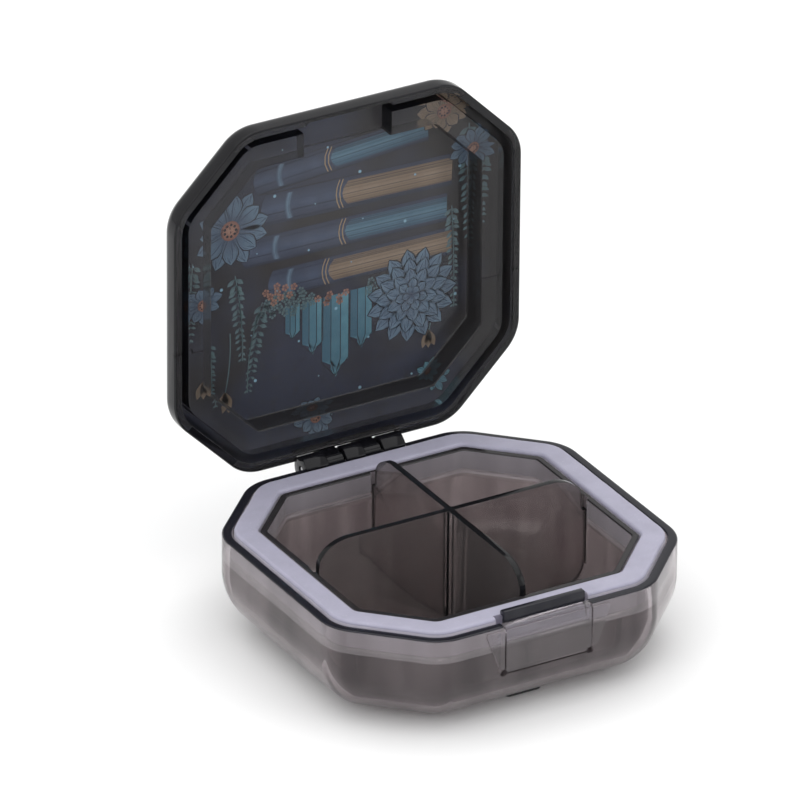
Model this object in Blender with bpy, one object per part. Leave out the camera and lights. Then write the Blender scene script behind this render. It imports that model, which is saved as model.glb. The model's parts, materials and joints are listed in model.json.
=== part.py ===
"""A pocket pill box, modelled open at its rest pose.

Eleven pieces: the outer casing, an inner tray with four compartments, a soft
seal ring between the two, a cross-shaped divider, the front release tab, the
lid, its hinge pin and four feet. Lengths are in metres, +Z is up and the front
faces -Y. The origin is the middle of the underside.
"""

import math

import bmesh
import bpy
from mathutils import Vector

# Outline of the box, seen from above: a rectangle with its corners cut at 45 degrees.
WIDTH = 0.0700
DEPTH = 0.0670
CHAMFER = 0.0140
CORNER_RADIUS = 0.0085
LEAST_RADIUS = 0.0015
CORNER_STEPS = 5

# Outer casing.
RIM_Z = 0.0190
CASE_WALL = 0.0018
CASE_FLOOR = 0.0014
CASE_ROUND = 0.0120
RIM_ROUND = 0.0004

# Seal ring, in the groove between casing and tray.
SEAL_GAP = 0.0003
SEAL_WIDTH = 0.0043
SEAL_DEPTH = 0.0039
SEAL_RISE = 0.0007
SEAL_ROUND = 0.0006

# Inner tray.
TRAY_GAP = 0.0003
TRAY_WALL = 0.0012
TRAY_FLOOR = 0.0010
TRAY_ROUND = 0.0050
TRAY_FLANGE = 0.0010
COLLAR_RISE = 0.0003
SLOT_DEPTH = 0.0005
SLOT_GAP = 0.0003

# Cross-shaped divider.
DIVIDER_THICK = 0.0012
DIVIDER_RISE = 0.0050
DIVIDER_GAP = 0.00025
DIVIDER_STEP = 0.0010
DIVIDER_STEP_DROP = 0.0019
DIVIDER_ROUND_ALONG = 0.0062
DIVIDER_ROUND_UP = 0.0046

# Lid, given as it sits when shut.
LID_GAP = 0.00025
LID_INSET = 0.0003
LID_RISE = 0.0067
LID_WALL = 0.0015
LID_TOP = 0.0012
LID_ROUND_IN = 0.0055
LID_ROUND_UP = 0.0040
LID_CROWN_INSET = 0.0140
LID_CROWN = 0.0003
CHANNEL_WIDTH = 0.0016
CHANNEL_ROOF = 0.0012
RIB_WIDTH = 0.0046
RIB_GAP = 0.0002
LID_OPEN = math.radians(90)

# Hinge.
HINGE_BEHIND = 0.0009
HINGE_DROP = 0.0006
PIN_RADIUS = 0.0006
PIN_LENGTH = 0.0196
PIN_CLEARANCE = 0.00008
EAR_RADIUS = 0.0024
EAR_OUTER = 0.0100
EAR_WIDTH = 0.0044
MIDDLE_EAR_WIDTH = 0.0038
EAR_FOOT = 0.0060
KNUCKLE_RADIUS = 0.0017
HINGE_GAP = 0.0003

# Release tab and the raised panel round it.
TAB_WIDTH = 0.0169
TAB_HEIGHT = 0.0092
TAB_THICK = 0.00135
TAB_GAP = 0.0003
RELIEF_RADIUS = 0.0007
PANEL_TOP_WIDTH = 0.0250
PANEL_BOTTOM_WIDTH = 0.0194
PANEL_DROP = 0.0006
PANEL_HEIGHT = 0.0076
PANEL_PROUD = 0.00035
HOOK_WIDTH = 0.0160
HOOK_THICK = 0.0008
HOOK_REACH = 0.0016
HOOK_TOP = 0.0020
HOOK_OVER_SEAL = 0.00025
CATCH_WALL = 0.0008
CATCH_WIDTH = 0.0175
SEAL_NOTCH_WIDTH = 0.0184
SEAL_NOTCH_DEPTH = 0.0026

# Feet, flush with the underside and let into the rounded edge.
FOOT_LENGTH = 0.0070
FOOT_WIDTH = 0.0022
FOOT_DEPTH = 0.0009
FOOT_GAP = 0.0003
FOOT_INSET = 0.0088

OVERSHOOT = 0.0020

HALF_X = WIDTH / 2
HALF_Y = DEPTH / 2
SEAL_OUTER = CASE_WALL + SEAL_GAP
SEAL_INNER = SEAL_OUTER + SEAL_WIDTH
SEAL_TOP = RIM_Z + SEAL_RISE
SEAL_BOTTOM = RIM_Z - SEAL_DEPTH
TRAY_OUTER = SEAL_INNER + TRAY_GAP
TRAY_INNER = TRAY_OUTER + TRAY_WALL
TRAY_BASE = CASE_FLOOR + TRAY_GAP
FLOOR_Z = TRAY_BASE + TRAY_FLOOR
HINGE = Vector((0, HALF_Y + HINGE_BEHIND, RIM_Z - HINGE_DROP))
TAB_PIVOT = Vector((0, -HALF_Y + TAB_THICK / 2, RIM_Z - TAB_HEIGHT))
LID_EDGE = RIM_Z + LID_GAP
RIB_OUTER = LID_INSET + LID_WALL + CHANNEL_WIDTH
RIB_INNER = RIB_OUTER + RIB_WIDTH
RIB_EDGE = SEAL_TOP + RIB_GAP
PANEL_Z = RIM_Z + LID_RISE - LID_TOP
CHANNEL_Z = PANEL_Z - CHANNEL_ROOF

SMOKE = (0.085, 0.072, 0.070)
SMOKE_DARK = (0.030, 0.028, 0.032)
SILICONE = (0.60, 0.58, 0.68)
STEEL = (0.55, 0.55, 0.56)
RUBBER = (0.02, 0.02, 0.022)


def clear_scene():
    """Removes whatever the scene starts with."""
    for obj in list(bpy.data.objects):
        bpy.data.objects.remove(obj, do_unlink=True)


def material(name, colour, roughness, metallic=0.0):
    """A plain Principled material, made once for each name."""
    made = bpy.data.materials.get(name)
    if made is None:
        made = bpy.data.materials.new(name)
        made.use_nodes = True
        shader = made.node_tree.nodes["Principled BSDF"]
        shader.inputs["Base Color"].default_value = (*colour, 1.0)
        shader.inputs["Roughness"].default_value = roughness
        shader.inputs["Metallic"].default_value = metallic
    return made


def add_object(name, mesh, finish=None, parent=None):
    """Links a mesh built in shut-box coordinates; a parent empty becomes its origin."""
    obj = bpy.data.objects.new(name, mesh)
    bpy.context.scene.collection.objects.link(obj)
    if parent is not None:
        for vertex in mesh.vertices:
            vertex.co -= parent.location
        obj.parent = parent
    if finish is None:
        obj.hide_render = True
        obj.display_type = "WIRE"
    else:
        mesh.materials.append(finish)
        mesh.shade_smooth()
        mesh.set_sharp_from_angle(angle=math.radians(35))
    return obj


def add_empty(name, location):
    """An empty on a joint axis."""
    empty = bpy.data.objects.new(name, None)
    empty.empty_display_size = 0.005
    empty.location = location
    bpy.context.scene.collection.objects.link(empty)
    return empty


def mesh_from(name, points, faces):
    """A mesh with its faces turned outwards."""
    mesh = bpy.data.meshes.new(name)
    mesh.from_pydata(points, [], faces)
    edit = bmesh.new()
    edit.from_mesh(mesh)
    bmesh.ops.recalc_face_normals(edit, faces=edit.faces)
    edit.to_mesh(mesh)
    edit.free()
    return mesh


def outline(inset, height):
    """One ring of the box's outline, that far inside its side, at that height."""
    half_x = HALF_X - inset
    half_y = HALF_Y - inset
    leg = CHAMFER - inset * (2 - math.sqrt(2))
    radius = max(CORNER_RADIUS - inset, LEAST_RADIUS)
    corners = (
        (half_x, leg - half_y),
        (half_x, half_y - leg),
        (half_x - leg, half_y),
        (leg - half_x, half_y),
        (-half_x, half_y - leg),
        (-half_x, leg - half_y),
        (leg - half_x, -half_y),
        (half_x - leg, -half_y),
    )
    reach = radius / math.cos(math.pi / 8)
    ring = []
    for turn, (x, y) in enumerate(corners):
        facing = (turn - 0.5) * math.pi / 4
        middle_x = x - reach * math.cos(facing)
        middle_y = y - reach * math.sin(facing)
        for step in range(CORNER_STEPS + 1):
            angle = (turn - 1 + step / CORNER_STEPS) * math.pi / 4
            ring.append(
                (middle_x + radius * math.cos(angle), middle_y + radius * math.sin(angle), height)
            )
    return ring


def arc(middle, radii, start, end, steps):
    """Points (inset, height) along a quarter or part of an ellipse, angles in degrees."""
    points = []
    for step in range(steps + 1):
        angle = math.radians(start + (end - start) * step / steps)
        points.append(
            (middle[0] + radii[0] * math.cos(angle), middle[1] + radii[1] * math.sin(angle))
        )
    return points


def loft(name, sections, ring=False):
    """A body skinned over outlines at (inset, height), capped at both ends or closed as a ring."""
    points = []
    for inset, height in sections:
        points.extend(outline(inset, height))
    count = 8 * (CORNER_STEPS + 1)
    faces = []
    spans = len(sections) if ring else len(sections) - 1
    for span in range(spans):
        low = span * count
        high = (span + 1) % len(sections) * count
        for i in range(count):
            j = (i + 1) % count
            faces.append((low + i, low + j, high + j, high + i))
    if not ring:
        faces.append(tuple(range(count)))
        last = (len(sections) - 1) * count
        faces.append(tuple(last + i for i in range(count)))
    return mesh_from(name, points, faces)


def prism(name, profile, axis, low, high):
    """A profile of (u, v) points drawn out along X (u, v = y, z) or along Y (u, v = x, z)."""
    points = []
    for along in (low, high):
        for u, v in profile:
            points.append((along, u, v) if axis == "X" else (u, along, v))
    count = len(profile)
    faces = [tuple(range(count)), tuple(range(count, 2 * count))]
    for i in range(count):
        j = (i + 1) % count
        faces.append((i, j, count + j, count + i))
    return mesh_from(name, points, faces)


def box(name, low, high):
    """A box between two corners."""
    profile = ((low[1], low[2]), (high[1], low[2]), (high[1], high[2]), (low[1], high[2]))
    return prism(name, profile, "X", low[0], high[0])


def disc(middle, radius, start=0.0, end=360.0, steps=24):
    """Points of a circle, or of a part of it, in a profile's plane."""
    return [
        (
            middle[0] + radius * math.cos(math.radians(start + (end - start) * i / steps)),
            middle[1] + radius * math.sin(math.radians(start + (end - start) * i / steps)),
        )
        for i in range(steps if end - start == 360.0 else steps + 1)
    ]


def combine(obj, tool, operation):
    """Adds an exact Boolean with a hidden tool object."""
    modifier = obj.modifiers.new(tool.name, "BOOLEAN")
    modifier.operation = operation
    modifier.solver = "EXACT"
    modifier.object = tool


def case_sections():
    """The casing's section, from the underside, over the rim and down to its floor."""
    inner_radii = (CASE_ROUND - CASE_WALL, CASE_ROUND - CASE_FLOOR)
    outer = arc((CASE_ROUND, CASE_ROUND), (CASE_ROUND, CASE_ROUND), 270, 180, 10)
    lip = arc((RIM_ROUND, RIM_Z - RIM_ROUND), (RIM_ROUND, RIM_ROUND), 180, 90, 3)
    edge = arc((CASE_WALL - RIM_ROUND, RIM_Z - RIM_ROUND), (RIM_ROUND, RIM_ROUND), 90, 0, 2)
    inner = arc((CASE_ROUND, CASE_ROUND), inner_radii, 180, 270, 8)
    return outer + lip + edge + inner


def panel_profile():
    """The raised trapezium on the front wall, as (x, z)."""
    top = RIM_Z - PANEL_DROP
    bottom = top - PANEL_HEIGHT
    return (
        (-PANEL_BOTTOM_WIDTH / 2, bottom),
        (PANEL_BOTTOM_WIDTH / 2, bottom),
        (PANEL_TOP_WIDTH / 2, top),
        (-PANEL_TOP_WIDTH / 2, top),
    )


def front_wall(name, finish, parent=None):
    """The casing with the raised panel on its front, before the tab is parted from it."""
    wall = add_object(name, loft(name, case_sections()), finish, parent)
    depth_in = -HALF_Y + CASE_WALL / 2
    raised = prism(name + "_panel", panel_profile(), "Y", -HALF_Y - PANEL_PROUD, depth_in)
    combine(wall, add_object(name + "_panel", raised, parent=parent), "UNION")
    return wall


def ear_profile():
    """A hinge ear's side view as (y, z): a round head, a foot down the wall and a rib over the rim."""
    head = disc((HINGE.y, HINGE.z), EAR_RADIUS, -50, 110, 14)
    return head + [
        (HALF_Y - CASE_WALL + RIM_ROUND, RIM_Z + RIM_ROUND),
        (HALF_Y - CASE_WALL + RIM_ROUND, RIM_Z - RIM_ROUND),
        (HALF_Y - CASE_WALL / 2, RIM_Z - CASE_WALL),
        (HALF_Y - CASE_WALL / 2, RIM_Z - EAR_FOOT),
    ]


def ear_spans():
    """Where the casing's three ears stand, as (low x, high x)."""
    return (
        (-EAR_OUTER, EAR_WIDTH - EAR_OUTER),
        (-MIDDLE_EAR_WIDTH / 2, MIDDLE_EAR_WIDTH / 2),
        (EAR_OUTER - EAR_WIDTH, EAR_OUTER),
    )


def knuckle_spans():
    """Where the lid's two knuckles sit, in the gaps between the ears."""
    ears = ear_spans()
    return tuple(
        (left[1] + HINGE_GAP, right[0] - HINGE_GAP) for left, right in zip(ears, ears[1:])
    )


def foot_spots():
    """Each foot's name, centre and half sizes along X and Y."""
    along = FOOT_LENGTH / 2
    across = FOOT_WIDTH / 2
    return (
        ("foot_front", (0, FOOT_INSET - HALF_Y), (along, across)),
        ("foot_rear", (0, HALF_Y - FOOT_INSET), (along, across)),
        ("foot_left", (FOOT_INSET - HALF_X, 0), (across, along)),
        ("foot_right", (HALF_X - FOOT_INSET, 0), (across, along)),
    )


def build_feet(base):
    """Four soft strips, and the pockets that hold them."""
    finish = material("foot_rubber", RUBBER, 0.7)
    for name, (x, y), (along, across) in foot_spots():
        low = (x - along, y - across, 0)
        high = (x + along, y + across, FOOT_DEPTH)
        add_object(name, box(name, low, high), finish)
        pocket = box(
            name + "_pocket",
            (low[0] - FOOT_GAP, low[1] - FOOT_GAP, -OVERSHOOT),
            (high[0] + FOOT_GAP, high[1] + FOOT_GAP, FOOT_DEPTH + FOOT_GAP / 2),
        )
        combine(base, add_object(name + "_pocket", pocket), "DIFFERENCE")


def build_case():
    """The outer casing, with its hinge ears, release-tab window and foot pockets."""
    case = front_wall("base_shell", material("smoke_casing", SMOKE, 0.12))
    for i, (low, high) in enumerate(ear_spans()):
        ear = add_object(f"ear_{i}", prism(f"ear_{i}", ear_profile(), "X", low, high))
        combine(case, ear, "UNION")
    bore = disc((HINGE.y, HINGE.z), PIN_RADIUS + PIN_CLEARANCE)
    reach = EAR_OUTER + OVERSHOOT
    combine(case, add_object("ear_bore", prism("ear_bore", bore, "X", -reach, reach)), "DIFFERENCE")
    for i, (low, high) in enumerate(knuckle_spans()):
        swing = disc((HINGE.y, HINGE.z), KNUCKLE_RADIUS + HINGE_GAP)
        pocket = prism(f"knuckle_pocket_{i}", swing, "X", low - HINGE_GAP, high + HINGE_GAP)
        combine(case, add_object(f"knuckle_pocket_{i}", pocket), "DIFFERENCE")
    half = TAB_WIDTH / 2 + TAB_GAP
    window = box(
        "tab_window",
        (-half, -HALF_Y - OVERSHOOT, TAB_PIVOT.z - TAB_GAP),
        (half, -HALF_Y + CASE_WALL + 0.5 * OVERSHOOT, RIM_Z + OVERSHOOT),
    )
    combine(case, add_object("tab_window", window), "DIFFERENCE")
    for side in (-1, 1):
        name = "relief_right" if side > 0 else "relief_left"
        hole = disc((side * (half - TAB_GAP / 2), TAB_PIVOT.z), RELIEF_RADIUS, steps=16)
        relief = prism(name, hole, "Y", -HALF_Y - OVERSHOOT, -HALF_Y + CASE_WALL + OVERSHOOT)
        combine(case, add_object(name, relief), "DIFFERENCE")
    return case


def hook_profile():
    """The tab's hook as (y, z): a stem up from its back and a lip in over the seal."""
    outer = -HALF_Y + LID_INSET + CATCH_WALL + SEAL_GAP / 2
    inner = outer + HOOK_THICK
    low = RIM_Z - SEAL_NOTCH_DEPTH + SEAL_GAP
    under = SEAL_TOP + HOOK_OVER_SEAL
    top = RIM_Z + HOOK_TOP
    return (
        (-HALF_Y + TAB_THICK / 2, low),
        (-HALF_Y + TAB_THICK, low - HOOK_THICK),
        (inner, low + HOOK_THICK),
        (inner, under),
        (outer + HOOK_REACH, under),
        (outer + HOOK_REACH, top - HOOK_THICK / 2),
        (outer + HOOK_REACH - HOOK_THICK / 2, top),
        (outer, top),
        (outer, RIM_Z - RIM_ROUND),
        (-HALF_Y + TAB_THICK / 2, RIM_Z - RIM_ROUND),
    )


def build_tab():
    """The press-to-open tab: the part of the front wall between the slits, with its hook."""
    pivot = add_empty("tab_pivot", TAB_PIVOT)
    tab = front_wall("latch_tab", material("smoke_tab", SMOKE, 0.18), pivot)
    keep = box(
        "tab_outline",
        (-TAB_WIDTH / 2, -HALF_Y - OVERSHOOT, TAB_PIVOT.z),
        (TAB_WIDTH / 2, -HALF_Y + TAB_THICK, RIM_Z + OVERSHOOT),
    )
    combine(tab, add_object("tab_outline", keep, parent=pivot), "INTERSECT")
    for side in (-1, 1):
        name = "tab_relief_right" if side > 0 else "tab_relief_left"
        edge = side * (TAB_WIDTH / 2 + TAB_GAP / 2)
        hole = disc((edge, TAB_PIVOT.z), RELIEF_RADIUS, steps=16)
        relief = prism(name, hole, "Y", -HALF_Y - OVERSHOOT, -HALF_Y + CASE_WALL + OVERSHOOT)
        combine(tab, add_object(name, relief, parent=pivot), "DIFFERENCE")
    hook = prism("hook", hook_profile(), "X", -HOOK_WIDTH / 2, HOOK_WIDTH / 2)
    combine(tab, add_object("hook", hook, parent=pivot), "UNION")
    return tab


def build_tray():
    """The inner tray: floor, walls, the flange under the seal, and slots for the divider."""
    flange_top = SEAL_BOTTOM - TRAY_GAP
    flange_edge = CASE_WALL + TRAY_GAP
    top = RIM_Z + COLLAR_RISE
    inner_round = TRAY_ROUND - TRAY_WALL
    sections = arc(
        (TRAY_OUTER + TRAY_ROUND, TRAY_BASE + TRAY_ROUND), (TRAY_ROUND, TRAY_ROUND), 270, 180, 6
    )
    sections += [
        (TRAY_OUTER, flange_top - TRAY_FLANGE),
        (flange_edge, flange_top - TRAY_FLANGE),
        (flange_edge, flange_top),
        (TRAY_OUTER, flange_top),
        (TRAY_OUTER, top),
        (TRAY_INNER, top),
    ]
    sections += arc(
        (TRAY_INNER + inner_round, FLOOR_Z + inner_round), (inner_round, inner_round), 180, 270, 6
    )
    tray = add_object("inner_tray", loft("inner_tray", sections), material("smoke_tray", SMOKE, 0.1))
    half = DIVIDER_THICK / 2 + SLOT_GAP
    low = FLOOR_Z + inner_round
    high = RIM_Z + OVERSHOOT
    reach_x = HALF_X - TRAY_INNER + SLOT_DEPTH
    reach_y = HALF_Y - TRAY_INNER + SLOT_DEPTH
    across = box("slots_across", (-reach_x, -half, low), (reach_x, half, high))
    along = box("slots_along", (-half, -reach_y, low), (half, reach_y, high))
    combine(tray, add_object("slots_across", across), "DIFFERENCE")
    combine(tray, add_object("slots_along", along), "DIFFERENCE")
    return tray


def build_seal():
    """The soft ring, notched at the front where the hook moves in."""
    r = SEAL_ROUND
    sections = [(SEAL_OUTER, SEAL_BOTTOM)]
    sections += arc((SEAL_OUTER + r, SEAL_TOP - r), (r, r), 180, 90, 3)
    sections += arc((SEAL_INNER - r, SEAL_TOP - r), (r, r), 90, 0, 3)
    sections += [(SEAL_INNER, SEAL_BOTTOM)]
    ring = loft("seal_ring", sections, ring=True)
    seal = add_object("seal_ring", ring, material("seal_silicone", SILICONE, 0.55))
    half = SEAL_NOTCH_WIDTH / 2
    back = -HALF_Y + SEAL_OUTER + SEAL_GAP + HOOK_THICK
    notch = box(
        "seal_notch",
        (-half, -HALF_Y, RIM_Z - SEAL_NOTCH_DEPTH - HOOK_THICK),
        (half, back, SEAL_TOP + OVERSHOOT),
    )
    combine(seal, add_object("seal_notch", notch), "DIFFERENCE")
    return seal


def plate_profile(half_tray):
    """One divider plate from the side, as (along, z), for a tray of that inner half length."""
    reach = half_tray + SLOT_DEPTH - DIVIDER_GAP
    clear = half_tray - DIVIDER_GAP
    low = FLOOR_Z + DIVIDER_GAP
    corner = TRAY_ROUND - TRAY_WALL
    shoulder = FLOOR_Z + corner + DIVIDER_GAP
    step = RIM_Z - DIVIDER_STEP_DROP
    neck = reach - DIVIDER_STEP
    top = RIM_Z + DIVIDER_RISE
    half = arc((clear - corner, low + corner), (corner, corner), 270, 360, 5)
    half += [(clear, shoulder), (reach, shoulder), (reach, step), (neck, step)]
    half += arc(
        (neck - DIVIDER_ROUND_ALONG, top - DIVIDER_ROUND_UP),
        (DIVIDER_ROUND_ALONG, DIVIDER_ROUND_UP),
        0,
        90,
        8,
    )
    return half + [(-along, z) for along, z in reversed(half)]


def build_divider():
    """Two crossed plates, moulded as one lift-out piece."""
    half = DIVIDER_THICK / 2
    across = plate_profile(HALF_X - TRAY_INNER)
    along = plate_profile(HALF_Y - TRAY_INNER)
    finish = material("smoke_divider", SMOKE, 0.08)
    divider = add_object("divider", prism("divider", across, "Y", -half, half), finish)
    other = add_object("divider_other_plate", prism("other", along, "X", -half, half))
    combine(divider, other, "UNION")
    return divider


def lid_sections():
    """The shut lid's section, from the crown over its skirt, channel and rib to the panel."""
    top = RIM_Z + LID_RISE
    shoulder = LID_INSET + LID_ROUND_IN
    sections = [(LID_CROWN_INSET, top)]
    sections += arc(
        (shoulder, top - LID_CROWN - LID_ROUND_UP), (LID_ROUND_IN, LID_ROUND_UP), 90, 180, 8
    )
    sections += [
        (LID_INSET, LID_EDGE + RIM_ROUND),
        (LID_INSET + RIM_ROUND, LID_EDGE),
        (LID_INSET + LID_WALL, LID_EDGE),
        (LID_INSET + LID_WALL, CHANNEL_Z),
        (RIB_OUTER, CHANNEL_Z),
        (RIB_OUTER, RIB_EDGE + RIM_ROUND),
        (RIB_OUTER + RIM_ROUND, RIB_EDGE),
        (RIB_INNER - RIM_ROUND, RIB_EDGE),
        (RIB_INNER, RIB_EDGE + RIM_ROUND),
        (RIB_INNER, PANEL_Z - RIM_ROUND),
        (RIB_INNER + RIM_ROUND, PANEL_Z),
    ]
    return sections


def knuckle_profile():
    """A lid knuckle from the side, shut, as (y, z): a round end and a web up to the skirt."""
    head = disc((HINGE.y, HINGE.z), KNUCKLE_RADIUS, -180, 40, 16)
    skirt = HALF_Y - LID_INSET
    top = RIM_Z + 2 * EAR_RADIUS
    return head + [(skirt - RIM_ROUND, top), (skirt - LID_WALL / 2, top)]


def build_lid():
    """The lid with its sealing rib, and the knuckles that run on the pin."""
    hinge = add_empty("lid_hinge", HINGE)
    finish = material("smoke_lid", SMOKE_DARK, 0.1)
    lid = add_object("lid_shell", loft("lid_shell", lid_sections()), finish, hinge)
    half = CATCH_WIDTH / 2
    catch = box(
        "catch_notch",
        (-half, -HALF_Y + LID_INSET + CATCH_WALL, RIM_Z - OVERSHOOT),
        (half, -HALF_Y + RIB_INNER + RIM_ROUND, CHANNEL_Z),
    )
    combine(lid, add_object("catch_notch", catch, parent=hinge), "DIFFERENCE")
    reach = EAR_OUTER + HINGE_GAP
    swing = disc((HINGE.y, HINGE.z), EAR_RADIUS + HINGE_GAP)
    notch = prism("ear_notch", swing, "X", -reach, reach)
    combine(lid, add_object("ear_notch", notch, parent=hinge), "DIFFERENCE")
    gap = box(
        "rib_over_rim_notch",
        (-reach, HALF_Y - CASE_WALL + RIM_ROUND - HINGE_GAP, RIM_Z - OVERSHOOT),
        (reach, HALF_Y + OVERSHOOT, HINGE.z + EAR_RADIUS + HINGE_GAP),
    )
    combine(lid, add_object("rib_over_rim_notch", gap, parent=hinge), "DIFFERENCE")
    for i, (low, high) in enumerate(knuckle_spans()):
        knuckle = prism(f"knuckle_{i}", knuckle_profile(), "X", low, high)
        combine(lid, add_object(f"knuckle_{i}", knuckle, parent=hinge), "UNION")
    bore = disc((HINGE.y, HINGE.z), PIN_RADIUS + PIN_CLEARANCE)
    hole = prism("knuckle_bore", bore, "X", -reach, reach)
    combine(lid, add_object("knuckle_bore", hole, parent=hinge), "DIFFERENCE")
    hinge.rotation_euler.x = -LID_OPEN
    return lid


def build_pin():
    """The steel pin through ears and knuckles."""
    profile = disc((HINGE.y, HINGE.z), PIN_RADIUS)
    pin = prism("hinge_pin", profile, "X", -PIN_LENGTH / 2, PIN_LENGTH / 2)
    return add_object("hinge_pin", pin, material("pin_steel", STEEL, 0.25, 1.0))


def main():
    """Builds every piece in order, casing first."""
    clear_scene()
    case = build_case()
    build_feet(case)
    build_tray()
    build_seal()
    build_divider()
    build_tab()
    build_lid()
    build_pin()


main()
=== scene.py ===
"""Looks of a pocket pill box: smoke mouldings, a soft seal, a printed lid and its hinge.

Every piece is rebuilt finely at the place and size of its CAD node and rides on the same
body. Lengths are metres, +Z is up and the front with the press tab faces -Y.
"""

from __future__ import annotations

import json
import logging
import math
from collections.abc import Callable, Sequence
from dataclasses import dataclass, field
from enum import Enum

import bmesh
import bpy
from mathutils import Matrix, Vector

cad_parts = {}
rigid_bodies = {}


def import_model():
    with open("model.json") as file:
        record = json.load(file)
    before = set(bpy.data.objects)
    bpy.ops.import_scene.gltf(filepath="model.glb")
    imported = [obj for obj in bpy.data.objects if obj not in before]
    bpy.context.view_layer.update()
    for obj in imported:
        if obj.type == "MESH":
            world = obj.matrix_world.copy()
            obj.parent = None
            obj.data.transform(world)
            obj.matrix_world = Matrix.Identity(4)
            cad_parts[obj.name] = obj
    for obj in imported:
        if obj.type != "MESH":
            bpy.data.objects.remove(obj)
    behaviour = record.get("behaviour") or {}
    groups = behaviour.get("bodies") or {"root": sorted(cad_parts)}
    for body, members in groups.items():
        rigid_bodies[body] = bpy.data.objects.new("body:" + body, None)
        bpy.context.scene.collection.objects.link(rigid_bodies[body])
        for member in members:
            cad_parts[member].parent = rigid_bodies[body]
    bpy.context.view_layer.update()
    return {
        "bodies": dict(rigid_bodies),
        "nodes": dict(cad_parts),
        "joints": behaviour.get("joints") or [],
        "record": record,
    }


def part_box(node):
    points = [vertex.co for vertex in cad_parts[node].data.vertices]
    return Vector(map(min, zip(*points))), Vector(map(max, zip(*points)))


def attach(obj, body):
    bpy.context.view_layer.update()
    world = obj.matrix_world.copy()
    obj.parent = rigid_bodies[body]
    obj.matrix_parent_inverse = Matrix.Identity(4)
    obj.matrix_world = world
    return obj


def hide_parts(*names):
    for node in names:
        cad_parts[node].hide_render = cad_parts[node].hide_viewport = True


LOG = logging.getLogger("pill_box")
MM = 0.001
GOLDEN_ANGLE = 2.39996  # radians between one scattered spot and the next
PAST = 2 * MM  # how far a cutter reaches beyond what it cuts
HAIR = 0.05 * MM  # slack when a face is known by its place

Colour = tuple[float, float, float]
Pair = tuple[float, float]
Profile = list[Pair]
FaceRule = Callable[[Vector, Vector], int]


class Axis(Enum):
    """The axis that a profile is drawn out along."""

    X = "x"
    Y = "y"


class Slot(Enum):
    """The record's material slots."""

    CASING = "smoke_casing"
    TRAY = "smoke_tray"
    SEAL = "seal_silicone"
    DIVIDER = "smoke_divider"
    TAB = "smoke_tab"
    LID = "smoke_lid"
    PIN = "pin_steel"
    FOOT = "foot_rubber"


# ---------------------------------------------------------------- shapes


@dataclass(frozen=True)
class Outline:
    """The box seen from above: a rectangle with rounded 45 degree corners."""

    half_x: float
    half_y: float
    chamfer: float = 14 * MM
    corner_radius: float = 8.5 * MM
    least_radius: float = 1.5 * MM
    corner_steps: int = 12

    def ring(self, inset: float, height: float, side_steps: int = 1) -> list[Vector]:
        """One closed ring of points.

        Args:
            inset: Distance in from the box's side.
            height: Height of the ring.
            side_steps: Spans that each straight side is divided into.

        Returns:
            The points, turning left as seen from above.
        """
        half_x, half_y = self.half_x - inset, self.half_y - inset
        leg = self.chamfer - inset * (2 - math.sqrt(2))
        radius = max(self.corner_radius - inset, self.least_radius)
        corners = (
            (half_x, leg - half_y),
            (half_x, half_y - leg),
            (half_x - leg, half_y),
            (leg - half_x, half_y),
            (-half_x, half_y - leg),
            (-half_x, leg - half_y),
            (leg - half_x, -half_y),
            (half_x - leg, -half_y),
        )
        reach = radius / math.cos(math.pi / 8)
        arcs: list[list[Vector]] = []
        for turn, (x, y) in enumerate(corners):
            facing = (turn - 0.5) * math.pi / 4
            middle = Vector((x - reach * math.cos(facing), y - reach * math.sin(facing), height))
            arcs.append(
                [
                    middle + radius * Vector((math.cos(angle), math.sin(angle), 0))
                    for angle in (
                        (turn - 1 + step / self.corner_steps) * math.pi / 4
                        for step in range(self.corner_steps + 1)
                    )
                ]
            )
        ring: list[Vector] = []
        for here, following in zip(arcs, arcs[1:] + arcs[:1]):
            ring.extend(here)
            for step in range(1, side_steps):
                ring.append(here[-1].lerp(following[0], step / side_steps))
        return ring

    def inset_at(self, x: float, y: float) -> float:
        """How far in from the box's side a point lies.

        Args:
            x: The point's place across the box.
            y: Its place from front to back.

        Returns:
            The distance to the nearest side.
        """
        across = self.half_x - abs(x)
        along = self.half_y - abs(y)
        slanted = (self.half_x + self.half_y - self.chamfer - abs(x) - abs(y)) / math.sqrt(2)
        return min(across, along, slanted)


def arc(middle: Pair, radii: Pair, start: float, end: float, steps: int) -> Profile:
    """Points along part of an ellipse.

    Args:
        middle: Centre of the ellipse.
        radii: Its two half sizes.
        start: First angle in degrees.
        end: Last angle in degrees.
        steps: Number of spans.

    Returns:
        The points from start to end.
    """
    points = []
    for step in range(steps + 1):
        angle = math.radians(start + (end - start) * step / steps)
        points.append(
            (middle[0] + radii[0] * math.cos(angle), middle[1] + radii[1] * math.sin(angle))
        )
    return points


def circle(middle: Pair, radius: float, steps: int = 40) -> Profile:
    """Points round a whole circle."""
    return arc(middle, (radius, radius), 0, 360, steps)[:-1]


def rounded(corners: Sequence[Pair], radius: float, steps: int = 4) -> Profile:
    """A polygon with its corners rounded.

    Args:
        corners: The sharp corners in order.
        radius: Cut-back along each side.
        steps: Spans of each rounding.

    Returns:
        The rounded profile.
    """
    out: Profile = []
    count = len(corners)
    for i in range(count):
        before, here, after = (Vector(corners[(i + k) % count]) for k in (-1, 0, 1))
        back, ahead = before - here, after - here
        start = here + back.normalized() * min(radius, back.length * 0.45)
        end = here + ahead.normalized() * min(radius, ahead.length * 0.45)
        for step in range(steps + 1):
            t = step / steps
            point = start * (1 - t) ** 2 + here * (2 * t * (1 - t)) + end * t**2
            out.append((point.x, point.y))
    return out


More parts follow.
